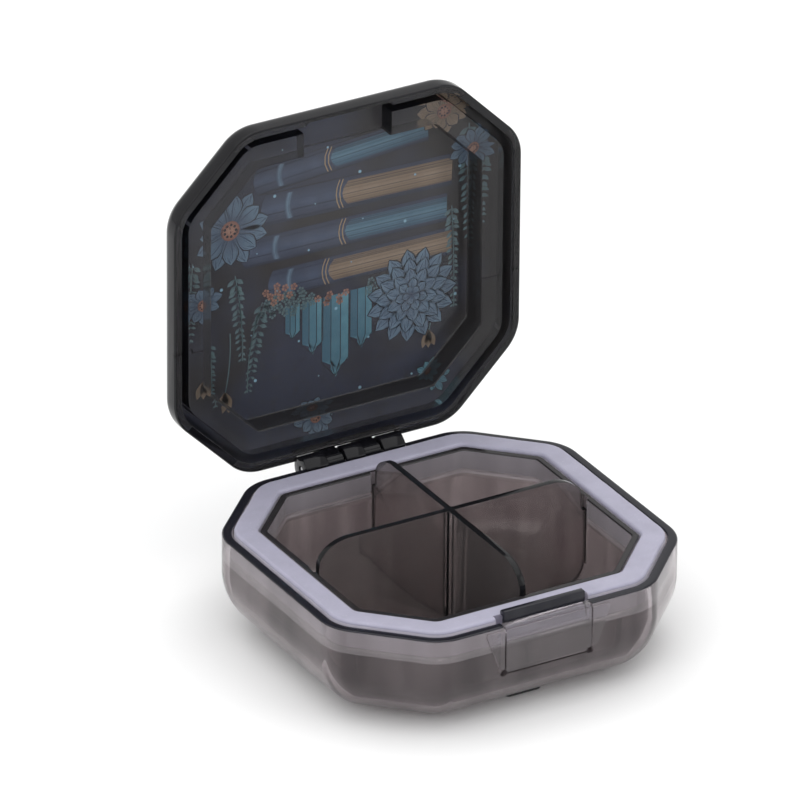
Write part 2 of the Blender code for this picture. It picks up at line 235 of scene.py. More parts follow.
class Solid:
    """One closed mesh piece while it is being shaped."""

    def __init__(
        self, name: str, points: Sequence[Vector], faces: Sequence[Sequence[int]]
    ) -> None:
        """Links a new mesh object with its faces turned outwards.

        Args:
            name: Name of the piece.
            points: Its corners.
            faces: The corners' numbers round each face.
        """
        mesh = bpy.data.meshes.new(name)
        mesh.from_pydata([tuple(point) for point in points], [], faces)
        edit = bmesh.new()
        edit.from_mesh(mesh)
        bmesh.ops.recalc_face_normals(edit, faces=edit.faces)
        edit.to_mesh(mesh)
        edit.free()
        self.piece = bpy.data.objects.new(name, mesh)
        self.tools: list[bpy.types.Object] = []
        bpy.context.scene.collection.objects.link(self.piece)

    @classmethod
    def skin(cls, name: str, rings: Sequence[Sequence[Vector]], closed: bool = False) -> Solid:
        """Joins rings of points, one after another, into a body.

        Args:
            name: Name of the piece.
            rings: The rings, all with as many points.
            closed: Joins the last ring to the first, as in a seal, with no caps.

        Returns:
            The body.
        """
        count = len(rings[0])
        faces: list[tuple[int, ...]] = []
        for span in range(len(rings) if closed else len(rings) - 1):
            low, high = span * count, (span + 1) % len(rings) * count
            for i in range(count):
                j = (i + 1) % count
                faces.append((low + i, low + j, high + j, high + i))
        if not closed:
            last = (len(rings) - 1) * count
            faces += [tuple(range(count)), tuple(last + i for i in range(count))]
        return cls(name, [point for ring in rings for point in ring], faces)

    @classmethod
    def loft(
        cls,
        name: str,
        outline: Outline,
        sections: Profile,
        closed: bool = False,
        side_steps: int = 1,
        wander: Callable[[Vector, int], Vector] | None = None,
    ) -> Solid:
        """Skins a body over rings of the outline.

        Args:
            name: Name of the piece.
            outline: The plan shape.
            sections: Each ring's inset and height, in order.
            closed: Joins the last ring to the first.
            side_steps: Spans of each straight side.
            wander: Moves each point, given the point and its ring's number.

        Returns:
            The body.
        """
        rings = [outline.ring(inset, height, side_steps) for inset, height in sections]
        if wander is not None:
            rings = [[wander(point, i) for point in ring] for i, ring in enumerate(rings)]
        return cls.skin(name, rings, closed)

    @classmethod
    def prism(cls, name: str, profile: Profile, axis: Axis, low: float, high: float) -> Solid:
        """Draws a profile out along an axis.

        Args:
            name: Name of the piece.
            profile: Its points, as (y, z) along X or as (x, z) along Y.
            axis: The axis.
            low: Where the piece starts.
            high: Where it ends.

        Returns:
            The body.
        """
        points = [
            Vector((along, u, v)) if axis is Axis.X else Vector((u, along, v))
            for along in (low, high)
            for u, v in profile
        ]
        count = len(profile)
        faces: list[tuple[int, ...]] = [tuple(range(count)), tuple(range(count, 2 * count))]
        faces += [(i, (i + 1) % count, count + (i + 1) % count, count + i) for i in range(count)]
        return cls(name, points, faces)

    @classmethod
    def block(cls, name: str, low: Sequence[float], high: Sequence[float]) -> Solid:
        """A cutter between two corners."""
        profile = [(low[1], low[2]), (high[1], low[2]), (high[1], high[2]), (low[1], high[2])]
        return cls.prism(name, profile, Axis.X, low[0], high[0])

    def combine(self, tool: Solid, operation: str) -> Solid:
        """Adds an exact Boolean with another solid, which is used up.

        Args:
            tool: The other solid.
            operation: UNION, DIFFERENCE or INTERSECT.

        Returns:
            This solid.
        """
        modifier = self.piece.modifiers.new(tool.piece.name, "BOOLEAN")
        modifier.operation, modifier.solver, modifier.object = operation, "EXACT", tool.piece
        self.tools += [tool.piece, *tool.tools]
        return self

    def join(self, tool: Solid) -> Solid:
        """Adds another solid to this one."""
        return self.combine(tool, "UNION")

    def cut(self, tool: Solid) -> Solid:
        """Takes another solid away from this one."""
        return self.combine(tool, "DIFFERENCE")

    def keep(self, tool: Solid) -> Solid:
        """Keeps only what lies inside another solid."""
        return self.combine(tool, "INTERSECT")

    def soften(self, width: float, segments: int = 3, angle: float = 40) -> Solid:
        """Rounds every sharp edge.

        Args:
            width: Width of the rounding.
            segments: Its spans.
            angle: Edges sharper than this many degrees are rounded.

        Returns:
            This solid.
        """
        modifier = self.piece.modifiers.new("soften", "BEVEL")
        modifier.width, modifier.segments = width, segments
        modifier.limit_method, modifier.angle_limit = "ANGLE", math.radians(angle)
        modifier.use_clamp_overlap, modifier.miter_outer = True, "MITER_ARC"
        return self

    def settle(self, sharp: float = 35) -> bpy.types.Object:
        """Applies what was asked for and smooths the faces.

        Args:
            sharp: Edges sharper than this many degrees stay crisp.

        Returns:
            The finished object.
        """
        graph = bpy.context.evaluated_depsgraph_get()
        made = bpy.data.meshes.new_from_object(self.piece.evaluated_get(graph))
        self.piece.modifiers.clear()
        self.piece.data = made
        made.name = self.piece.name
        made.shade_smooth()
        made.set_sharp_from_angle(angle=math.radians(sharp))
        for tool in self.tools:
            bpy.data.objects.remove(tool, do_unlink=True)
        self.tools = []
        return self.piece


def dress(
    piece: bpy.types.Object,
    finishes: Sequence[bpy.types.Material],
    rule: FaceRule | None = None,
) -> None:
    """Gives a piece its materials.

    Args:
        piece: The piece.
        finishes: Its materials, in slot order.
        rule: Picks a slot from a face's centre and normal. None uses the first for all.
    """
    piece.data.materials.clear()
    for finish in finishes:
        piece.data.materials.append(finish)
    for face in piece.data.polygons:
        face.material_index = rule(face.center, face.normal) if rule else 0


def place(piece: bpy.types.Object, body: str, slot: Slot, *nodes: str) -> None:
    """Hands a finished piece over to its body.

    Args:
        piece: The piece.
        body: The CAD body that it moves with.
        slot: The record's material slot for the piece; not used.
        nodes: The CAD nodes that it stands for.
    """
    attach(piece, body)
    if nodes:
        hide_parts(*nodes)
    LOG.info("%s rides on %s, %d faces", piece.name, body, len(piece.data.polygons))


# ---------------------------------------------------------------- finishes


class Nodes:
    """A node tree while it is being wired."""

    def __init__(self, tree: bpy.types.NodeTree) -> None:
        """Starts on an existing tree."""
        self.tree = tree

    def add(self, kind: str, **settings: object) -> bpy.types.Node:
        """Adds a node.

        Args:
            kind: The node's type, without its ShaderNode prefix.
            settings: Attributes of the node.

        Returns:
            The node.
        """
        node = self.tree.nodes.new("ShaderNode" + kind)
        for name, value in settings.items():
            setattr(node, name, value)
        return node

    def wire(self, start: bpy.types.NodeSocket, end: bpy.types.NodeSocket) -> None:
        """Links an output to an input."""
        self.tree.links.new(start, end)

    def here(self) -> bpy.types.NodeSocket:
        """Coordinates that stay with the piece."""
        return self.add("TexCoord").outputs["Object"]

    def facing(self) -> bpy.types.NodeSocket:
        """The way that the surface faces, up or down: the normal's Z."""
        return self.part(self.add("NewGeometry").outputs["Normal"], "Z")

    def part(self, vector: bpy.types.NodeSocket, axis: str) -> bpy.types.NodeSocket:
        """One number of a vector.

        Args:
            vector: The vector.
            axis: X, Y or Z.

        Returns:
            The number.
        """
        split = self.add("SeparateXYZ")
        self.wire(vector, split.inputs[0])
        return split.outputs[axis]

    def math(self, operation: str, *values: bpy.types.NodeSocket) -> bpy.types.NodeSocket:
        """Works out a sum.

        Args:
            operation: Its kind, such as MULTIPLY.
            values: What goes in.

        Returns:
            The answer.
        """
        node = self.add("Math", operation=operation)
        for value, socket in zip(values, node.inputs):
            self.wire(value, socket)
        return node.outputs[0]

    def noise(
        self, vector: bpy.types.NodeSocket, scale: float, detail: float = 3
    ) -> bpy.types.Node:
        """A noise texture.

        Args:
            vector: Its coordinates.
            scale: Its scale.
            detail: Its detail.

        Returns:
            The node.
        """
        node = self.add("TexNoise")
        node.inputs["Scale"].default_value = scale
        node.inputs["Detail"].default_value = detail
        self.wire(vector, node.inputs["Vector"])
        return node

    def bump(self, height: bpy.types.NodeSocket, distance: float) -> bpy.types.Node:
        """Raises the surface by a height.

        Args:
            height: The height.
            distance: How far a height of 1 rises.

        Returns:
            The node.
        """
        node = self.add("Bump")
        node.inputs["Distance"].default_value = distance
        self.wire(height, node.inputs["Height"])
        return node

    def stretched(
        self, vector: bpy.types.NodeSocket, scale: Sequence[float]
    ) -> bpy.types.NodeSocket:
        """Scales coordinates by a different amount along each axis.

        Args:
            vector: The coordinates.
            scale: The three amounts.

        Returns:
            The scaled coordinates.
        """
        node = self.add("Mapping")
        node.inputs["Scale"].default_value = tuple(scale)
        self.wire(vector, node.inputs["Vector"])
        return node.outputs["Vector"]

    def fit(
        self,
        value: bpy.types.NodeSocket,
        source: Pair,
        target: tuple[object, object] = (0.0, 1.0),
    ) -> bpy.types.NodeSocket:
        """Maps a value's range on to another.

        Args:
            value: The value.
            source: Its lowest and highest.
            target: What they become, as numbers or sockets.

        Returns:
            The mapped value.
        """
        node = self.add("MapRange", clamp=True)
        self.wire(value, node.inputs["Value"])
        node.inputs["From Min"].default_value, node.inputs["From Max"].default_value = source
        for name, end in zip(("To Min", "To Max"), target):
            if isinstance(end, bpy.types.NodeSocket):
                self.wire(end, node.inputs[name])
            else:
                node.inputs[name].default_value = end
        return node.outputs["Result"]

    def blend(
        self, factor: bpy.types.NodeSocket, low: object, high: object
    ) -> bpy.types.NodeSocket:
        """Mixes two colours.

        Args:
            factor: 0 gives the first and 1 the second.
            low: A colour or a socket.
            high: A colour or a socket.

        Returns:
            The mixed colour.
        """
        node = self.add("Mix", data_type="RGBA")
        self.wire(factor, node.inputs[0])
        for index, end in ((6, low), (7, high)):
            if isinstance(end, bpy.types.NodeSocket):
                self.wire(end, node.inputs[index])
            else:
                node.inputs[index].default_value = (*end, 1)
        return node.outputs[2]


class SurfaceEffects:
    """The effects that several finishes share, each a node group built once."""

    def __init__(self) -> None:
        """Builds the groups."""
        self.flow = self.build_painted_streaks_and_waves()
        self.scuff = self.build_scuff()
        self.dust = self.build_dust()

    @staticmethod
    def group(
        name: str, inputs: dict[str, float], outputs: dict[str, str]
    ) -> tuple[Nodes, dict, dict]:
        """Starts a group.

        Args:
            name: Name of the group.
            inputs: Number inputs and their usual values.
            outputs: Output names and whether each is a Float, Color or Vector.

        Returns:
            Its nodes, its input sockets and its output sockets.
        """
        tree = bpy.data.node_groups.new(name, "ShaderNodeTree")
        for label, value in inputs.items():
            socket = tree.interface.new_socket(label, in_out="INPUT", socket_type="NodeSocketFloat")
            socket.default_value = value
        for label, kind in outputs.items():
            tree.interface.new_socket(label, in_out="OUTPUT", socket_type="NodeSocket" + kind)
        nodes = Nodes(tree)
        entry, leaving = tree.nodes.new("NodeGroupInput"), tree.nodes.new("NodeGroupOutput")
        return nodes, entry.outputs, leaving.inputs

    def build_painted_streaks_and_waves(self) -> bpy.types.NodeTree:
        """Painted shade in a moulded wall: soft upright darker streaks for hidden corners and ribs
        seen through it, and a slight waviness.

        Returns:
            The group. Its streaks fade on level faces.
        """
        nodes, given, out = self.group(
            "moulding_flow",
            {"Streak Scale": 300.0, "Wave Scale": 160.0, "Wave Depth": 0.1},
            {"Streaks": "Float", "Normal": "Vector"},
        )
        here = nodes.here()
        streaks = nodes.noise(nodes.stretched(here, (1, 1, 0.12)), 1, 1.5)
        nodes.wire(given["Streak Scale"], streaks.inputs["Scale"])
        level = nodes.math("ABSOLUTE", nodes.facing())
        upright = nodes.fit(level, (0.2, 0.8), (1.0, 0.25))
        # painted shade: the darker streaks show most on upright faces
        shown = nodes.math("MULTIPLY", nodes.fit(streaks.outputs[0], (0.38, 0.66)), upright)
        nodes.wire(shown, out["Streaks"])
        waves = nodes.noise(here, 1, 2)
        nodes.wire(given["Wave Scale"], waves.inputs["Scale"])
        bump = nodes.bump(waves.outputs[0], 0.2 * MM)
        nodes.wire(given["Wave Depth"], bump.inputs["Strength"])
        nodes.wire(bump.outputs["Normal"], out["Normal"])
        return nodes.tree

    def build_scuff(self) -> bpy.types.NodeTree:
        """Fine handling marks that take the shine off in places.

        Returns:
            The group.
        """
        nodes, given, out = self.group(
            "handling_scuffs", {"Shine": 0.06, "Worn": 0.2}, {"Roughness": "Float"}
        )
        here = nodes.here()
        hairs = nodes.noise(nodes.stretched(here, (5200, 380, 900)), 1, 2)
        patches = nodes.noise(here, 120, 2)
        marks = nodes.math(
            "MULTIPLY",
            nodes.fit(hairs.outputs[0], (0.55, 0.75)),
            nodes.fit(patches.outputs[0], (0.4, 0.7)),
        )
        ends = (given["Shine"], given["Worn"])
        nodes.wire(nodes.fit(marks, (0, 1), ends), out["Roughness"])
        return nodes.tree

    def build_dust(self) -> bpy.types.NodeTree:
        """Specks and a faint film that settle on faces turned upwards.

        Returns:
            The group.
        """
        nodes, given, out = self.group("settled_dust", {"Amount": 0.1}, {"Mask": "Float"})
        specks = nodes.noise(nodes.here(), 2600, 2)
        lying = nodes.math(
            "MULTIPLY",
            nodes.fit(nodes.facing(), (0.3, 1.0)),
            nodes.fit(specks.outputs[0], (0.64, 0.74), (0.15, 1.0)),
        )
        nodes.wire(nodes.math("MULTIPLY", lying, given["Amount"]), out["Mask"])
        return nodes.tree

    def mark(self, nodes: Nodes, shader: bpy.types.Node, shine: float, worn: float) -> None:
        """Gives a shader its handling marks.

        Args:
            nodes: The material's nodes.
            shader: Its Principled shader.
            shine: Roughness where nothing has rubbed.
            worn: Roughness in the marks.
        """
        scuff = use_group(nodes, self.scuff, Shine=shine, Worn=worn)
        nodes.wire(scuff.outputs["Roughness"], shader.inputs["Roughness"])


def use_group(nodes: Nodes, tree: bpy.types.NodeTree, **values: float) -> bpy.types.Node:
    """Places a shared effect in a material.

    Args:
        nodes: The material's nodes.
        tree: The effect.
        values: Its inputs, with spaces written as underscores.

    Returns:
        The group node.
    """
    node = nodes.add("Group")
    node.node_tree = tree
    for name, value in values.items():
        node.inputs[name.replace("_", " ")].default_value = value
    return node


def start_material(name: str) -> tuple[bpy.types.Material, Nodes, bpy.types.Node]:
    """Starts a material.

    Args:
        name: Its name.

    Returns:
        The material, its nodes and its Principled shader.
    """
    made = bpy.data.materials.new(name)
    made.use_nodes = True
    nodes = Nodes(made.node_tree)
    return made, nodes, made.node_tree.nodes["Principled BSDF"]


@dataclass(frozen=True)
class SmokePlastic:
    """Tinted clear plastic, with painted shade in upright streaks, faint waviness, scuffs, dust
    and, where asked, a painted-light pale band.
    """

    name: str
    tint: Colour
    # painted shade: the darker colour of the upright streaks
    streak: Colour
    clear: float = 0.85
    shine: float = 0.05
    worn: float = 0.16
    wave: float = 0.10
    dust: float = 0.05
    bend: float = 1.45
    # painted light: a paler colour above pale_from, blended in over pale_fade
    pale: Colour | None = None
    pale_from: float = 0.0
    pale_fade: float = 0.25 * MM
    dust_colour: Colour = (0.55, 0.54, 0.53)

    def make(self, effects: SurfaceEffects) -> bpy.types.Material:
        """Builds the material.

        Args:
            effects: The shared effects.

        Returns:
            The material.
        """
        made, nodes, shader = start_material(self.name)
        flow = use_group(
            nodes, effects.flow, Streak_Scale=260.0, Wave_Scale=150.0, Wave_Depth=self.wave
        )
        effects.mark(nodes, shader, self.shine, self.worn)
        dust = use_group(nodes, effects.dust, Amount=self.dust)
        # painted shade: the upright streaks darken the tint
        body = nodes.blend(flow.outputs["Streaks"], self.tint, self.streak)
        # painted light: paler above pale_from
        if self.pale is not None:
            edge = (self.pale_from - self.pale_fade, self.pale_from + self.pale_fade)
            body = nodes.blend(nodes.fit(nodes.part(nodes.here(), "Z"), edge), body, self.pale)
        body = nodes.blend(dust.outputs["Mask"], body, self.dust_colour)
        nodes.wire(body, shader.inputs["Base Color"])
        nodes.wire(flow.outputs["Normal"], shader.inputs["Normal"])
        shader.inputs["IOR"].default_value = self.bend
        shader.inputs["Transmission Weight"].default_value = self.clear
        return made


@dataclass(frozen=True)
class SoftRubber:
    """Silicone or rubber: matte, softly lit through, with lint and a fine grain."""

    name: str
    colour: Colour
    shade: Colour
    roughness: Pair = (0.45, 0.62)
    through: float = 0.0
    through_reach: Colour = (1.0, 0.9, 0.9)
    through_depth: float = 1.2 * MM
    grain: float = 0.12
    grain_depth: float = 0.05 * MM
    sheen: float = 0.12
    dust: float = 0.2
    dust_colour: Colour = (0.75, 0.75, 0.76)

    def make(self, effects: SurfaceEffects) -> bpy.types.Material:
        """Builds the material.

        Args:
            effects: The shared effects.

        Returns:
            The material.
        """
        made, nodes, shader = start_material(self.name)
        mottle = nodes.noise(nodes.here(), 240, 4).outputs[0]
        dust = use_group(nodes, effects.dust, Amount=self.dust)
        body = nodes.blend(nodes.fit(mottle, (0.35, 0.7)), self.colour, self.shade)
        body = nodes.blend(dust.outputs["Mask"], body, self.dust_colour)
        nodes.wire(body, shader.inputs["Base Color"])
        nodes.wire(nodes.fit(mottle, (0.3, 0.7), self.roughness), shader.inputs["Roughness"])
        bump = nodes.bump(nodes.noise(nodes.here(), 5200, 2).outputs[0], self.grain_depth)
        bump.inputs["Strength"].default_value = self.grain
        nodes.wire(bump.outputs["Normal"], shader.inputs["Normal"])
        shader.inputs["Subsurface Weight"].default_value = self.through
        shader.inputs["Subsurface Radius"].default_value = self.through_reach
        shader.inputs["Subsurface Scale"].default_value = self.through_depth
        shader.inputs["Sheen Weight"].default_value = self.sheen
        shader.inputs["Sheen Roughness"].default_value = 0.5
        return made


@dataclass(frozen=True)
class DrawnWire:
    """Bright steel wire with drawing lines along it."""

    name: str
    colour: Colour = (0.52, 0.52, 0.54)
    line: Colour = (0.38, 0.38, 0.40)
    shine: float = 0.22
    worn: float = 0.4

    def make(self, effects: SurfaceEffects) -> bpy.types.Material:
        """Builds the material.

        Args:
            effects: The shared effects.

        Returns:
            The material.
        """
        made, nodes, shader = start_material(self.name)
        lines = nodes.noise(nodes.stretched(nodes.here(), (300, 9000, 9000)), 1, 2)
        body = nodes.blend(lines.outputs[0], self.colour, self.line)
        nodes.wire(body, shader.inputs["Base Color"])
        effects.mark(nodes, shader, self.shine, self.worn)
        shader.inputs["Metallic"].default_value = 1.0
        return made


@dataclass(frozen=True)
class PrintInk:
    """One ink of the lid's print, shaded along and across each motif by its UV map."""

    name: str
    deep: Colour
    light: Colour
    line: Colour
    lines: float = 0.0
    roughness: float = 0.45
    worn: float = 0.6

    def make(self, effects: SurfaceEffects) -> bpy.types.Material:
        """Builds the material.

        Args:
            effects: The shared effects.

        Returns:
            The material.
        """
        made, nodes, shader = start_material(self.name)
        where = nodes.add("UVMap", uv_map="Motif").outputs["UV"]
        body = nodes.blend(nodes.fit(nodes.part(where, "X"), (0.0, 1.0)), self.deep, self.light)
        if self.lines > 0:
            pen = nodes.noise(nodes.stretched(where, (1.4, self.lines, 1)), 1, 2)
            body = nodes.blend(nodes.fit(pen.outputs[0], (0.54, 0.60)), body, self.line)
        cloud = nodes.noise(nodes.here(), 420, 3)
        shadow = nodes.fit(cloud.outputs[0], (0.4, 0.75), (0.0, 0.45))
        nodes.wire(nodes.blend(shadow, body, self.deep), shader.inputs["Base Color"])
        effects.mark(nodes, shader, self.roughness, self.worn)
        return made


@dataclass(frozen=True)
class NightGround:
    """The print's dark ground: warm black with soft clouds of slate blue."""

    name: str
    dark: Colour = (0.024, 0.021, 0.021)
    glow: Colour = (0.036, 0.046, 0.085)
    roughness: float = 0.5
    worn: float = 0.6

    def make(self, effects: SurfaceEffects) -> bpy.types.Material:
        """Builds the material.

        Args:
            effects: The shared effects.

        Returns:
            The material.
        """
        made, nodes, shader = start_material(self.name)
        clouds = nodes.noise(nodes.here(), 38, 2)
        speckle = nodes.noise(nodes.here(), 900, 3)
        body = nodes.blend(nodes.fit(clouds.outputs[0], (0.42, 0.62)), self.dark, self.glow)
        flecks = nodes.fit(speckle.outputs[0], (0.5, 0.8), (0.0, 0.5))
        nodes.wire(nodes.blend(flecks, body, self.dark), shader.inputs["Base Color"])
        effects.mark(nodes, shader, self.roughness, self.worn)
        return made


class Finish(Enum):
    """The finishes of the box's own pieces."""

    CASING = SmokePlastic(
        "smoke_casing", (0.40, 0.35, 0.365), (0.22, 0.19, 0.20), clear=0.88, wave=0.05, bend=1.36
    )
    # Painted light: a paler copy of the casing for the wall's upper band, standing in for the seal
    # seen through it.
    CASING_LIP_PAINTED_LIGHT = SmokePlastic(
        "smoke_casing_lip", (0.58, 0.535, 0.56), (0.48, 0.44, 0.46),
        clear=0.78, shine=0.06, wave=0.05, bend=1.36,
    )
    CASING_EDGE = SmokePlastic(
        "smoke_casing_edge", (0.012, 0.012, 0.018), (0.02, 0.02, 0.026),
        clear=0.1, dust=0.02, wave=0.03, bend=1.32,
    )
    # Frosted plastic; its paler band above pale_from is painted light, standing in for the seal
    # seen through the tab.
    CASING_FROST_AND_PAINTED_LIGHT = SmokePlastic(
        "smoke_casing_frost", (0.34, 0.305, 0.32), (0.27, 0.24, 0.25),
        clear=0.86, shine=0.10, worn=0.24, pale=(0.60, 0.56, 0.60), pale_from=15.6 * MM,
    )
    TRAY = SmokePlastic(
        "smoke_tray", (0.70, 0.64, 0.63), (0.42, 0.37, 0.37), clear=0.86, wave=0.12
    )
    # Painted light: a paler copy of the tray plastic for the collar wall, standing in for the seal
    # seen through it.
    TRAY_LIP = SmokePlastic(
        "smoke_tray_lip", (0.86, 0.82, 0.85), (0.74, 0.70, 0.73), clear=0.76, wave=0.06
    )
    TRAY_EDGE = SmokePlastic(
        "smoke_tray_edge", (0.02, 0.018, 0.02), (0.03, 0.028, 0.03),
        clear=0.15, wave=0.04, bend=1.32,
    )
    DIVIDER = SmokePlastic(
        "smoke_divider", (0.60, 0.55, 0.55), (0.52, 0.47, 0.47), clear=0.94, wave=0.03
    )
    DIVIDER_EDGE = SmokePlastic(
        "smoke_divider_edge", (0.006, 0.006, 0.007), (0.010, 0.010, 0.012),
        clear=0.05, wave=0.03, bend=1.30, dust=0.01,
    )
    LID = SmokePlastic(
        "smoke_lid", (0.70, 0.69, 0.71), (0.64, 0.63, 0.65),
        clear=0.97, wave=0.02, dust=0.01, bend=1.22,
    )
    # Dark skirt, edges and knuckles, and painted shade on the rib's outer wall in the channel.
    LID_EDGE_AND_PAINTED_SHADE = SmokePlastic(
        "smoke_lid_edge", (0.006, 0.006, 0.008), (0.010, 0.010, 0.012),
        clear=0.25, wave=0.02, dust=0.01, bend=1.34,
    )
    # Painted shade: a dark copy of the lid plastic for the rib's inner wall round the recessed
    # panel.
    LID_RECESS_PAINTED_SHADE = SmokePlastic(
        "smoke_lid_recess", (0.035, 0.034, 0.036), (0.06, 0.058, 0.06),
        clear=0.55, wave=0.02, dust=0.01, bend=1.34,
    )
    HINGE_DARK = SmokePlastic(
        "smoke_hinge", (0.006, 0.006, 0.008), (0.012, 0.012, 0.014),
        clear=0.15, wave=0.04, dust=0.01, bend=1.3,
    )
    SEAL = SoftRubber("seal_silicone", (0.36, 0.35, 0.45), (0.32, 0.31, 0.40), through=0.3)
    # Painted light: a paler copy of the seal silicone for its flanks below the rim.
    SEAL_FLANK_PAINTED_LIGHT = SoftRubber(
        "seal_silicone_flank", (0.56, 0.54, 0.62), (0.50, 0.48, 0.56), through=0.3
    )
    FOOT = SoftRubber(
        "foot_rubber", (0.012, 0.012, 0.012), (0.02, 0.02, 0.02), roughness=(0.6, 0.8)
    )
    PIN = DrawnWire("pin_steel")
    GROUND = NightGround("print_ground")


class Finishes:
    """Every finish of the box, made once."""

    def __init__(self) -> None:
        """Builds the shared effects and the materials."""
        effects = SurfaceEffects()
        self.made = {finish: finish.value.make(effects) for finish in Finish}
        self.inks = [ink.value.make(effects) for ink in Ink]

    def pick(self, *names: Finish) -> list[bpy.types.Material]:
        """The named finishes, in slot order."""
        return [self.made[name] for name in names]


class Ink(Enum):
    """The print's inks, in the order of their material slots."""

    COVER = PrintInk(
        "ink_cover", (0.034, 0.046, 0.085), (0.080, 0.120, 0.205), (0.02, 0.03, 0.06), 3
    )
    PAGES_SAND = PrintInk(
        "ink_pages_sand", (0.27, 0.19, 0.12), (0.42, 0.32, 0.22), (0.05, 0.04, 0.04), 26
    )
    PAGES_TEAL = PrintInk(
        "ink_pages_teal", (0.055, 0.14, 0.22), (0.14, 0.30, 0.40), (0.02, 0.04, 0.07), 26
    )
    PETAL = PrintInk("ink_petal", (0.055, 0.085, 0.15), (0.20, 0.33, 0.44), (0.03, 0.06, 0.12), 9)
    CRYSTAL = PrintInk("ink_crystal", (0.06, 0.17, 0.25), (0.17, 0.45, 0.55), (0.04, 0.10, 0.14), 3)
    LEAF = PrintInk("ink_leaf", (0.07, 0.13, 0.15), (0.19, 0.33, 0.35), (0.03, 0.05, 0.06), 3)
    CORAL = PrintInk("ink_coral", (0.30, 0.13, 0.09), (0.58, 0.33, 0.23), (0.10, 0.05, 0.05), 3)
    GOLD = PrintInk("ink_gold", (0.42, 0.30, 0.15), (0.55, 0.42, 0.25), (0.2, 0.15, 0.08))
    LINE = PrintInk("ink_line", (0.012, 0.014, 0.022), (0.012, 0.014, 0.022), (0.01, 0.01, 0.01))
    STAR = PrintInk("ink_star", (0.30, 0.55, 0.70), (0.40, 0.70, 0.85), (0.2, 0.3, 0.4))

    @property
    def index(self) -> int:
        """This ink's material slot."""
        return list(Ink).index(self)


# ---------------------------------------------------------------- print


